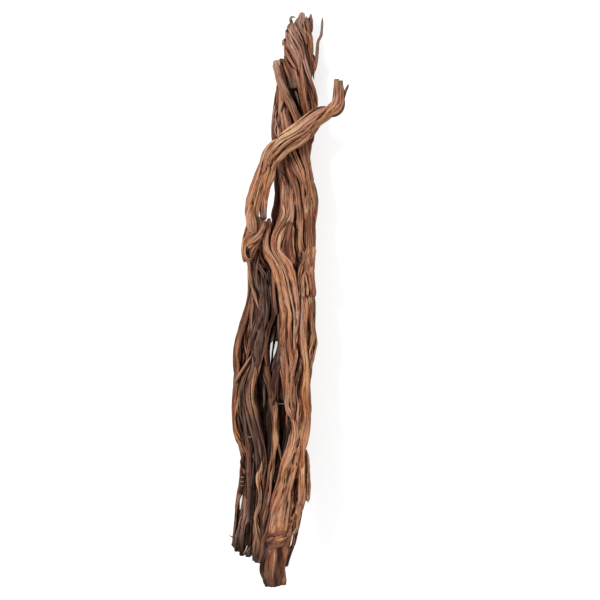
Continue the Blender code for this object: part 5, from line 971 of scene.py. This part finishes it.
for name, stem in stems.items():
    core, palette, lo, hi, count = SIDES_OF[name]
    rng = np.random.default_rng(abs(hash_name(name)))
    z = np.linspace(stem.high, stem.low - (0.03 if stem.rooted else 0), 160)
    x, y, r = track(stem, z).T
    r = np.maximum(r, 0.003)
    centre = np.stack([x, y, z], 1)
    front = np.repeat([[0.0, -1.0, 0.0]], len(z), 0)
    dark = colour_at(core, np.linspace(0, 1, len(z)))
    core_at = CORE_AT.get(name, 0.94)
    sweep(name, centre, front, front, r * core_at, r * core_at * FLATNESS, dark, "tf" if stem.rooted else "tt",
          grooves=1.3, coarse=2.2, cut_at_floor=stem.rooted, kind="core", back=False, wide=1.25)
    twist = rng.uniform(-0.9, 0.9)
    span = stem.high - stem.low
    for k in range(count):
        bearing = math.radians(lo + (hi - lo) * (k + 0.5) / count + rng.uniform(-6, 6))
        runs = 1 if span < 0.45 else (2 if span < 1.0 else 3)
        cuts = np.linspace(stem.low, stem.high, runs + 1)
        cuts[1:-1] += rng.uniform(-0.12, 0.12, runs - 1)
        for j in range(runs):
            low = cuts[j] - (0.10 if j else (0.03 if stem.rooted else 0))
            high = cuts[j + 1] + (0.08 if j < runs - 1 else -rng.uniform(0.0, 0.03))
            zz = np.linspace(high, low, 120)
            x, y, r = track(stem, zz).T
            phi = (bearing + twist * (zz - stem.low) + 0.22 * np.sin(zz * rng.uniform(9, 16) + rng.uniform(0, 6))
                   + 0.12 * np.sin(zz * rng.uniform(22, 34) + rng.uniform(0, 6)) + (0.25 if j % 2 else 0))
            arc = math.radians(hi - lo) / count
            width = np.clip(r * arc * rng.uniform(0.46, 0.62), 0.0035, 0.014)
            width = width * (1 + 0.25 * np.sin(zz * rng.uniform(14, 25) + rng.uniform(0, 6)))
            direction = np.stack([np.cos(phi), np.sin(phi), 0 * phi], 1)
            flat = np.stack([np.cos(phi), FLATNESS * np.sin(phi), 0 * phi], 1)
            depth = width * rng.uniform(0.7, 0.9)
            centre = np.stack([x, y, zz], 1) + flat * (r * 1.01 - depth * 0.85)[:, None]
            letters = [palette[i] for i in rng.integers(0, len(palette), 3)]
            text = " ".join(f"{c}{p}" for c, p in zip(letters, (0, 0.5, 1)))
            if j == 0 and name in LOW_DARK:
                text = f"{letters[0]}0 {letters[1]}0.6 B0.85 K1"
            colour = colour_at(text, np.linspace(0, 1, len(zz)))
            top = "t" if j < runs - 1 or rng.random() < 0.5 else "b"
            rooted = stem.rooted and j == 0
            sweep(name, centre, direction, direction, width, depth, colour, top + ("f" if rooted else "t"),
                  coarse=1.6, cut_at_floor=rooted, kind="side")

for name, rows in limb_rows.items():
    fine = np.linspace(0, len(rows) - 1, 60)
    p = spline(np.arange(len(rows)), rows, fine)
    u, v = (p[:, 0] + p[:, 2]) / 2, (p[:, 1] + p[:, 3]) / 2
    half = np.hypot(p[:, 2] - p[:, 0], p[:, 3] - p[:, 1]) / 2
    centre, size = from_sheet(u, v, p[:, 4])
    out = eye_frame(centre)
    a = half * size
    scale = 0.9 if name in ("gap_stem", "loop_limb_twig", "top_twig") else 0.84
    letter = {"gap_stem": "K", "loop_limb_twig": "G", "top_twig": "G"}.get(name, "M")
    sweep(name, centre, out, out, a * scale, a * scale * limb_flat[name], colour_at(letter, fine), "mm", grooves=1.3, coarse=1.3, kind="core", back=False)
    if a.max() > 0.012:                                     # strands round the back of the loop limb
        for k in range(4):
            phi = math.radians(-15 + 210 * (k + 0.5) / 4) + 0.25 * np.sin(fine / fine[-1] * 7 + k)
            along = unit(np.gradient(centre, axis=0))
            side = np.cross(along, out)
            direction = unit(side * np.cos(phi)[:, None] - out * np.sin(phi)[:, None])
            w = np.clip(a * 0.42, 0.003, 0.009)
            flat = side * np.cos(phi)[:, None] - out * (limb_flat[name] * np.sin(phi))[:, None]
            sweep(name, centre + flat * (a * 0.97 - w * 0.6)[:, None], direction, direction, w, w * 0.8,
                  colour_at(f"{LIGHT[k]}0 {LIGHT[(k + 3) % 7]}1", np.linspace(0, 1, 60)), "mm", coarse=1.3, kind="side")

# ------------------------------------------- which strands can be seen at all
VOXEL = 0.006


def sketch(item, step=0.005, spokes=10, levels=(0.35, 0.7, 1.0)):
    """Points through a planned strand, and points on its skin with normals."""
    centre, out = np.asarray(item["centre"]), np.asarray(item["out"])
    s = np.concatenate([[0], np.cumsum(np.linalg.norm(np.diff(centre, axis=0), axis=1))])
    at = np.arange(0, s[-1] + step, step)
    grab = lambda x: np.stack([np.interp(at, s, x[:, c]) for c in range(x.shape[1])], 1) if x.ndim == 2 else np.interp(at, s, x)
    c, o, a, b = grab(centre), grab(out), grab(np.asarray(item["a"])), grab(np.asarray(item["b"]))
    along = unit(np.gradient(c, axis=0))
    o = unit(o - (o * along).sum(1, keepdims=True) * along)
    w = np.cross(along, o)
    th = np.arange(spokes) / spokes * 2 * math.pi
    d = w[:, None] * (np.cos(th) * a[:, None])[..., None] + o[:, None] * (np.sin(th) * b[:, None])[..., None]
    inside = np.concatenate([(c[:, None] + d * k).reshape(-1, 3) for k in levels])
    return inside, (c[:, None] + d).reshape(-1, 3), unit(d).reshape(-1, 3)


sketches = [sketch(item) for item in plan]
cloud = np.concatenate([k[0] for k in sketches])
base = cloud.min(0) - 0.03
dims = np.ceil((cloud.max(0) + 0.03 - base) / VOXEL).astype(int)
filled = np.zeros(dims, bool)
filled[tuple(((cloud - base) / VOXEL).astype(int).T)] = True
golden = np.arange(48) + 0.5
polar, azimuth = np.arccos(1 - 2 * golden / 48), math.pi * (1 + 5 ** 0.5) * golden
rays = np.stack([np.cos(azimuth) * np.sin(polar), np.sin(azimuth) * np.sin(polar), np.cos(polar)], 1)


def seen(points, normals):
    """Which points look out past every other strand in some direction."""
    found = np.zeros(len(points), bool)
    eye = unit(np.array([EYE_X, -EYE_DISTANCE, EYE_HEIGHT]) - points)
    for k in range(len(rays) + 1):
        ray = eye if k == len(rays) else np.repeat(rays[k][None], len(points), 0)
        live = np.where(~found & ((ray * normals).sum(1) > 0.15))[0]
        start = points[live] + normals[live] * 0.006 + ray[live] * 0.004
        blocked = np.zeros(len(live), bool)
        for hop in range(46):
            q = ((start + ray[live] * (hop * VOXEL * 1.0) - base) / VOXEL).astype(int)
            inside = ((q >= 0) & (q < dims)).all(1)
            q = np.clip(q, 0, dims - 1)
            blocked |= inside & filled[q[:, 0], q[:, 1], q[:, 2]]
            if blocked.all() or not inside.any():
                break
        found[live[~blocked]] = True
    return found


# what is in front, seen from the elevation's eye
front_map = np.full((600, 140), 9.0)
for _, skin, _ in sketches:
    u, v = on_sheet(skin)
    i, j = ((v - GRID_V)).astype(int), ((u - GRID_U)).astype(int)
    for di in (-1, 0, 1):
        for dj in (0, 1) if di else (-1, 0, 1):
            np.minimum.at(front_map, (np.clip(i + di, 0, 599), np.clip(j + dj, 0, 139)), skin[:, 1])

dropped = 0
for item, (_, skin, normals) in zip(plan, sketches):
    pick = np.arange(0, len(skin), 7)
    share = seen(skin[pick], normals[pick]).mean()
    if item.get("kind") == "side" and share < 0.04:
        dropped += 1
        continue
    if item.get("kind") in ("side", "core") and share < 0.14:
        item["coarse"] = item.get("coarse", 1) * 1.5
    grow(**item)
print("STRANDS", len(plan), "hidden and left out", dropped)

# ------------------------------------------------------------------- meshes
CUT = linear((150, 112, 82))


def finish_tube(t):
    """Adds the closing rings of both ends and lays the tube down."""
    pts, groove, grain, tone, at = t.pts, t.groove, t.grain, t.tone, t.at
    for end in (0, 1):
        edge = pts[0] if end == 0 else pts[-1]
        middle = edge.mean(0)
        radius = np.linalg.norm(edge - middle, axis=1).mean()
        levels = (0.97, 0.72, 0.42, 0.16) if t.ends[end] in "cfb" else (0.5,)
        rows = np.stack([middle + (edge - middle) * k for k in levels])
        tones = np.repeat((tone[0] if end == 0 else tone[-1])[None], len(levels), 0)
        if t.ends[end] in "cf":
            tones[1:] = CUT * (0.55 if t.ends[end] == "f" else 1)
        elif t.ends[end] == "b":
            tones = tones * 0.75
            inward = unit((pts[1].mean(0) - middle) if end == 0 else (pts[-2].mean(0) - middle))
            rows = rows + inward * (np.array([0, 0.15, 0.5, 0.7])[:, None, None] * radius)
        g = np.repeat((groove[0] if end == 0 else groove[-1])[None], len(levels), 0) * np.array(levels)[:, None]
        gr = np.repeat((grain[0] if end == 0 else grain[-1])[None], len(levels), 0).copy()
        gr[..., :2] *= np.array(levels)[:, None, None]
        steps = radius * (1 - np.array(levels))
        if end == 0:
            pts, groove, tone = np.concatenate([rows[::-1], pts]), np.concatenate([g[::-1], groove]), np.concatenate([tones[::-1], tone])
            grain, at = np.concatenate([gr[::-1], grain]), np.concatenate([(at[0] - steps)[::-1], at])
        else:
            pts, groove, tone = np.concatenate([pts, rows]), np.concatenate([groove, g]), np.concatenate([tone, tones])
            grain, at = np.concatenate([grain, gr]), np.concatenate([at, at[-1] + steps])
    t.pts, t.groove, t.grain, t.tone = lie_down(pts), groove, grain, tone
    t.at = at - at[0] + 0.002
    t.pts[..., 2] = np.maximum(t.pts[..., 2], 0.0004)
    n, m = t.pts.shape[:2]
    dth = np.roll(t.pts, -1, 1) - np.roll(t.pts, 1, 1)
    ds = np.gradient(t.pts, axis=0)
    normal = unit(np.cross(dth, ds))
    middle = t.pts.mean(1, keepdims=True)
    t.flip = (normal * (t.pts - middle)).sum() < 0
    t.normal = -normal if t.flip else normal
    t.poles = np.stack([t.pts[0].mean(0), t.pts[-1].mean(0)])


for group in tubes.values():
    for t in group:
        finish_tube(t)

# Painted shade of deep places: how much wood stands close in front of each point. The material darkens the base colour
# by it.
CELL = 0.0045
everything = np.concatenate([t.pts.reshape(-1, 3) for g in tubes.values() for t in g])
low = everything.min(0) - 0.05
shape = np.ceil((everything.max(0) + 0.05 - low) / CELL).astype(int)


def solid_grid():
    grid = np.zeros(shape, np.float32)
    idx = ((everything - low) / CELL).astype(int)
    np.add.at(grid, tuple(idx.T), 1.0)
    return np.minimum(grid, 1.0)


def blur(grid, radius):
    kernel = np.exp(-0.5 * (np.arange(-2 * radius, 2 * radius + 1) / radius) ** 2)
    kernel /= kernel.sum()
    for axis in range(3):
        out = np.zeros_like(grid)
        for k, w in zip(range(-2 * radius, 2 * radius + 1), kernel):
            out += w * np.roll(grid, k, axis)
        grid = out
    return grid


near = blur(solid_grid(), 1)
far = blur(near, 3)
wide = blur(far, 7)


def sample(grid, p):
    q = (p - low) / CELL - 0.5
    i = np.floor(q).astype(int)
    f = q - i
    i = np.clip(i, 0, np.array(shape) - 2)
    out = 0
    for dx in (0, 1):
        for dy in (0, 1):
            for dz in (0, 1):
                w = (f[:, 0] if dx else 1 - f[:, 0]) * (f[:, 1] if dy else 1 - f[:, 1]) * (f[:, 2] if dz else 1 - f[:, 2])
                out = out + w * grid[i[:, 0] + dx, i[:, 1] + dy, i[:, 2] + dz]
    return out


def deep_shade(p, nrm):
    a = sample(near, p + nrm * 0.010)
    b = sample(far, p + nrm * 0.022)
    c = sample(wide, p + nrm * 0.045)
    return np.clip((a - 0.10) * 2.0, 0, 1) * 0.5 + np.clip((b - 0.10) * 3.0, 0, 1) * 0.45 + np.clip((c - 0.085) * 7, 0, 1) * 0.35


def pack_strips(sizes):
    """Places rectangles (w, h) in the unit square on shelves; a scale and corners."""
    order = np.argsort([-h for w, h in sizes])
    scale = min(0.98 / max(h for w, h in sizes), math.sqrt(0.9 / sum(w * h for w, h in sizes)))
    while True:
        x = y = 0.004
        shelf = 0
        spots, ok = [None] * len(sizes), True
        for k in order:
            w, h = sizes[k][0] * scale + 0.003, sizes[k][1] * scale + 0.003
            if x + w > 0.996:
                x, y = 0.004, y + shelf
                shelf = 0
            if y + h > 0.998:
                ok = False
                break
            spots[k] = (x, y)
            x += w
            shelf = max(shelf, h)
        if ok:
            return scale, spots
        scale *= 0.95


def build_piece(name, group):
    co, col, shade, grain, faces4, faces3, uv4, uv3 = [], [], [], [], [], [], [], []
    scale, spots = pack_strips([(t.around, t.at[-1] + 0.002) for t in group])
    start = 0
    for t, (ox, oy) in zip(group, spots):
        n, m = t.pts.shape[:2]
        p = t.pts.reshape(-1, 3)
        painted_deep_shade = deep_shade(p, t.normal.reshape(-1, 3))
        co += [p, t.poles]
        col += [t.tone.reshape(-1, 3), t.tone[0, :1], t.tone[-1, :1]]
        groove = t.groove.reshape(-1)
        shade += [np.stack([painted_deep_shade, groove], 1), [[painted_deep_shade[:m].mean(), 0], [painted_deep_shade[-m:].mean(), 0]]]
        grain += [t.grain.reshape(-1, 3), t.grain[0].mean(0)[None], t.grain[-1].mean(0)[None]]
        i, j = np.meshgrid(np.arange(n - 1), np.arange(m), indexing="ij")
        i, j = i.ravel(), j.ravel()
        k = (j + 1) % m
        quad = np.stack([i * m + j, i * m + k, (i + 1) * m + k, (i + 1) * m + j], 1) + start
        w = t.around * scale
        ua, ub = ox + w * t.turn[j], ox + w * t.turn[j + 1]
        va, vb = oy + t.at[i] * scale, oy + t.at[i + 1] * scale
        quv = np.stack([np.stack([ua, va], 1), np.stack([ub, va], 1), np.stack([ub, vb], 1), np.stack([ua, vb], 1)], 1)
        jj = np.arange(m)
        kk = (jj + 1) % m
        a, b = start + n * m, start + n * m + 1
        tri = np.concatenate([np.stack([kk, jj, np.full(m, a - start)], 1), np.stack([(n - 1) * m + jj, (n - 1) * m + kk, np.full(m, b - start)], 1)]) + start
        u0, u1 = ox + w * t.turn[jj], ox + w * t.turn[jj + 1]
        v0, v1 = np.full(m, oy + t.at[0] * scale), np.full(m, oy + t.at[-1] * scale)
        tuv = np.concatenate([
            np.stack([np.stack([u1, v0], 1), np.stack([u0, v0], 1), np.stack([(u0 + u1) / 2, v0 - 0.0015 * scale], 1)], 1),
            np.stack([np.stack([u0, v1], 1), np.stack([u1, v1], 1), np.stack([(u0 + u1) / 2, v1 + 0.0015 * scale], 1)], 1)])
        if t.flip:
            quad, quv, tri, tuv = quad[:, ::-1], quv[:, ::-1], tri[:, ::-1], tuv[:, ::-1]
        faces4.append(quad), faces3.append(tri), uv4.append(quv), uv3.append(tuv)
        start += n * m + 2
    co, col, shade, grain = (np.concatenate([np.asarray(x) for x in y]) for y in (co, col, shade, grain))
    f4, f3 = np.concatenate(faces4), np.concatenate(faces3)
    uv = np.concatenate([np.concatenate(uv4).reshape(-1, 2), np.concatenate(uv3).reshape(-1, 2)])
    mesh = bpy.data.meshes.new(name + "_bark")
    mesh.vertices.add(len(co))
    mesh.vertices.foreach_set("co", co.astype(np.float32).ravel())
    loops = np.concatenate([f4.ravel(), f3.ravel()]).astype(np.int32)
    mesh.loops.add(len(loops))
    mesh.loops.foreach_set("vertex_index", loops)
    mesh.polygons.add(len(f4) + len(f3))
    mesh.polygons.foreach_set("loop_start", np.concatenate([np.arange(len(f4)) * 4, len(f4) * 4 + np.arange(len(f3)) * 3]).astype(np.int32))
    mesh.update(calc_edges=True)
    layer = mesh.uv_layers.new(name="OFBake")
    layer.data.foreach_set("uv", uv.astype(np.float32).ravel())
    attribute = mesh.attributes.new("tone", "FLOAT_COLOR", "POINT")
    attribute.data.foreach_set("color", np.concatenate([col, np.ones((len(col), 1))], 1).astype(np.float32).ravel())
    # painted shade of deep places and of the grooves, carried as attributes into the colour
    for label, values in (("painted_deep_shade", shade[:, 0]), ("groove", shade[:, 1])):
        attribute = mesh.attributes.new(label, "FLOAT", "POINT")
        attribute.data.foreach_set("value", values.astype(np.float32))
    attribute = mesh.attributes.new("grain", "FLOAT_VECTOR", "POINT")
    attribute.data.foreach_set("vector", grain.astype(np.float32).ravel())
    mesh.shade_smooth()
    mesh.validate()
    thing = bpy.data.objects.new(name + "_bark", mesh)
    bpy.context.scene.collection.objects.link(thing)
    return thing

# ----------------------------------------------------------------- materials


def bark_material(name, red, grey, rough, shade):
    material = bpy.data.materials.new(name)
    material.use_nodes = True
    tree = material.node_tree
    tree.nodes.clear()
    add, link = tree.nodes.new, tree.links.new

    def node(kind, **values):
        n = add(kind)
        for key, value in values.items():
            setattr(n, key, value)
        return n

    def math_(op, a, b=None, clamp=False):
        n = node("ShaderNodeMath", operation=op, use_clamp=clamp)
        for socket, value in zip(n.inputs, (a, b)):
            if value is None:
                continue
            if isinstance(value, (int, float)):
                socket.default_value = value
            else:
                link(value, socket)
        return n.outputs[0]

    def ramp(value, lo, hi, out_lo=0.0, out_hi=1.0):
        n = node("ShaderNodeMapRange", clamp=True)
        link(value, n.inputs["Value"])
        for key, v in (("From Min", lo), ("From Max", hi), ("To Min", out_lo), ("To Max", out_hi)):
            n.inputs[key].default_value = v
        return n.outputs["Result"]

    def mix(blend, factor, a, b):
        n = node("ShaderNodeMix", data_type="RGBA", blend_type=blend)
        for socket, value in ((n.inputs[0], factor), (n.inputs[6], a), (n.inputs[7], b)):
            if isinstance(value, (int, float)):
                socket.default_value = value
            elif isinstance(value, tuple):
                socket.default_value = (*value, 1)
            else:
                link(value, socket)
        return n.outputs[2]

    def attribute(label):
        return node("ShaderNodeAttribute", attribute_name=label)

    def streaks(across, along, detail, roughness, distortion=0.0):
        scaled = node("ShaderNodeVectorMath", operation="MULTIPLY")
        link(attribute("grain").outputs["Vector"], scaled.inputs[0])
        scaled.inputs[1].default_value = (1 / across, 1 / across, 1 / along)
        n = node("ShaderNodeTexNoise", noise_dimensions="3D")
        link(scaled.outputs[0], n.inputs["Vector"])
        n.inputs["Scale"].default_value = 1
        n.inputs["Detail"].default_value = detail
        n.inputs["Roughness"].default_value = roughness
        n.inputs["Distortion"].default_value = distortion
        return n.outputs["Fac"]

    place = node("ShaderNodeTexCoord").outputs["Object"]

    def blotches(scale, detail):
        n = node("ShaderNodeTexNoise", noise_dimensions="3D")
        link(place, n.inputs["Vector"])
        n.inputs["Scale"].default_value = scale
        n.inputs["Detail"].default_value = detail
        return n.outputs["Fac"]

    fibre = streaks(0.0016, 0.045, 3, 0.62)
    band = streaks(0.0055, 0.13, 3, 0.55, 0.3)
    pores = streaks(0.0009, 0.016, 2, 0.6)
    wide = blotches(16, 3)
    fine = blotches(120, 3)

    tone = attribute("tone").outputs["Color"]
    colour = mix("MULTIPLY", 1.0, tone, mix("MIX", ramp(band, 0.3, 0.72), (0.66, 0.58, 0.52), (1.18, 1.15, 1.12)))
    colour = mix("MULTIPLY", 1.0, colour, mix("MIX", ramp(fibre, 0.28, 0.7), (0.62, 0.52, 0.45), (1.16, 1.14, 1.10)))
    colour = mix("MULTIPLY", ramp(pores, 0.40, 0.30, 0.0, 0.75), colour, (0.42, 0.32, 0.26))
    colour = mix("MULTIPLY", ramp(wide, 0.52, 0.72, 0.0, red), colour, (1.05, 0.82, 0.70))
    colour = mix("MIX", ramp(wide, 0.46, 0.30, 0.0, grey), colour, (0.21, 0.165, 0.135))
    colour = mix("MULTIPLY", ramp(fine, 0.40, 0.62, 0.25, 0.0), colour, (0.55, 0.46, 0.40))
    # painted shade: the base colour darkens to near black in the grooves and cuts
    groove = attribute("groove").outputs["Fac"]
    colour = mix("MULTIPLY", ramp(groove, 0.25, 1.0, 0.0, 0.9), colour, (0.27, 0.125, 0.065))
    # painted shade: the base colour darkens towards the shade colour where much wood stands close in front
    painted_deep_shade = attribute("painted_deep_shade").outputs["Fac"]
    colour = mix("MULTIPLY", ramp(painted_deep_shade, 0.10, 0.75), colour, shade)

    shader = node("ShaderNodeBsdfPrincipled")
    link(colour, shader.inputs["Base Color"])
    link(ramp(fibre, 0.2, 0.8, rough + 0.10, rough - 0.08), shader.inputs["Roughness"])
    shader.inputs["Specular IOR Level"].default_value = 0.14
    height = math_("ADD", math_("MULTIPLY", fibre, 0.55), math_("MULTIPLY", band, 0.5))
    height = math_("ADD", height, math_("MULTIPLY", pores, 0.22))
    bump = node("ShaderNodeBump")
    bump.inputs["Strength"].default_value = 0.75
    bump.inputs["Distance"].default_value = 0.0016
    link(height, bump.inputs["Height"])
    link(bump.outputs["Normal"], shader.inputs["Normal"])
    out = node("ShaderNodeOutputMaterial")
    link(shader.outputs[0], out.inputs["Surface"])
    return material


# the last colour of each material is its painted shade colour for deep places
light_bark = bark_material("light_bark", 0.45, 0.30, 0.72, (0.25, 0.115, 0.06))
dark_bark = bark_material("dark_bark", 0.40, 0.50, 0.78, (0.15, 0.09, 0.06))
slots = {row["node"]: row["material_slot"] for row in frame["record"]["subparts"]}
total = 0
for name, group in tubes.items():
    piece = build_piece(name, group)
    piece.data.materials.append(light_bark if slots[name] == "light_wood" else dark_bark)
    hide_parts(name)
    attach(piece, "root")
    count = sum(len(p.vertices) - 2 for p in piece.data.polygons) if False else len(piece.data.loops) - 2 * len(piece.data.polygons)
    total += count
    print("PIECE", name, len(group), count)
print("TRIANGLES", total)

# --------------------------------------------------- floor, light and camera
floor_mesh = bpy.data.meshes.new("floor")
R = 14
floor_mesh.from_pydata([(-R, -R, 0), (R, -R, 0), (R, R, 0), (-R, R, 0)], [], [(0, 1, 2, 3)])
floor = bpy.data.objects.new("floor", floor_mesh)
bpy.context.scene.collection.objects.link(floor)
fm = bpy.data.materials.new("floor_white")
fm.use_nodes = True
fs = fm.node_tree.nodes["Principled BSDF"]
fs.inputs["Base Color"].default_value = (0.45, 0.45, 0.45, 1)
fs.inputs["Emission Color"].default_value = (1, 1, 1, 1)
fs.inputs["Emission Strength"].default_value = 0.62
fs.inputs["Roughness"].default_value = 0.9
fs.inputs["Specular IOR Level"].default_value = 0.1
floor_mesh.materials.append(fm)

# the floor line stands a hair under the lowest strands
floor.location.z = -0.0005

world = bpy.data.worlds.new("studio")
bpy.context.scene.world = world
world.use_nodes = True
background = world.node_tree.nodes["Background"]
background.inputs["Color"].default_value = (1, 1, 1, 1)
background.inputs["Strength"].default_value = 0.62


def area(name, standing, aim, size, power, colour=(1, 1, 1)):
    light = bpy.data.lights.new(name, "AREA")
    light.shape, light.size, light.energy, light.color = "DISK", size, power, colour
    thing = bpy.data.objects.new(name, light)
    bpy.context.scene.collection.objects.link(thing)
    place, target = lie_down(np.array(standing)), lie_down(np.array(aim))
    thing.location = place
    thing.rotation_euler = Vector(target - place).to_track_quat("-Z", "Y").to_euler()
    return thing


area("key", (-1.9, -2.9, 2.3), (0.0, 0.1, 0.95), 1.2, 150, (1.0, 0.985, 0.96))
area("fill", (1.9, -2.6, 0.4), (0.0, 0.1, 0.9), 2.2, 40, (1.0, 0.99, 0.98))

camera = bpy.data.objects.new("camera", bpy.data.cameras.new("camera"))
bpy.context.scene.collection.objects.link(camera)
camera.data.sensor_width = camera.data.sensor_height = 36
camera.data.lens = 36 * SHEET_SCALE / 600
camera.data.clip_start, camera.data.clip_end = 0.05, 60
eye = np.array([EYE_X, -EYE_DISTANCE, EYE_HEIGHT])
ahead = np.array([0, math.cos(EYE_PITCH), -math.sin(EYE_PITCH)])
up = np.array([0, math.sin(EYE_PITCH), math.cos(EYE_PITCH)])
right = np.array([1.0, 0, 0])
turn = np.stack([lie_turn(right), lie_turn(up), -lie_turn(ahead)], 1)
matrix = Matrix.Identity(4)
for i in range(3):
    for j in range(3):
        matrix[i][j] = float(turn[i, j])
    matrix[i][3] = float(lie_down(eye)[i])
camera.matrix_world = matrix
bpy.context.scene.camera = camera
bpy.context.scene.view_settings.view_transform = "Standard"

import json
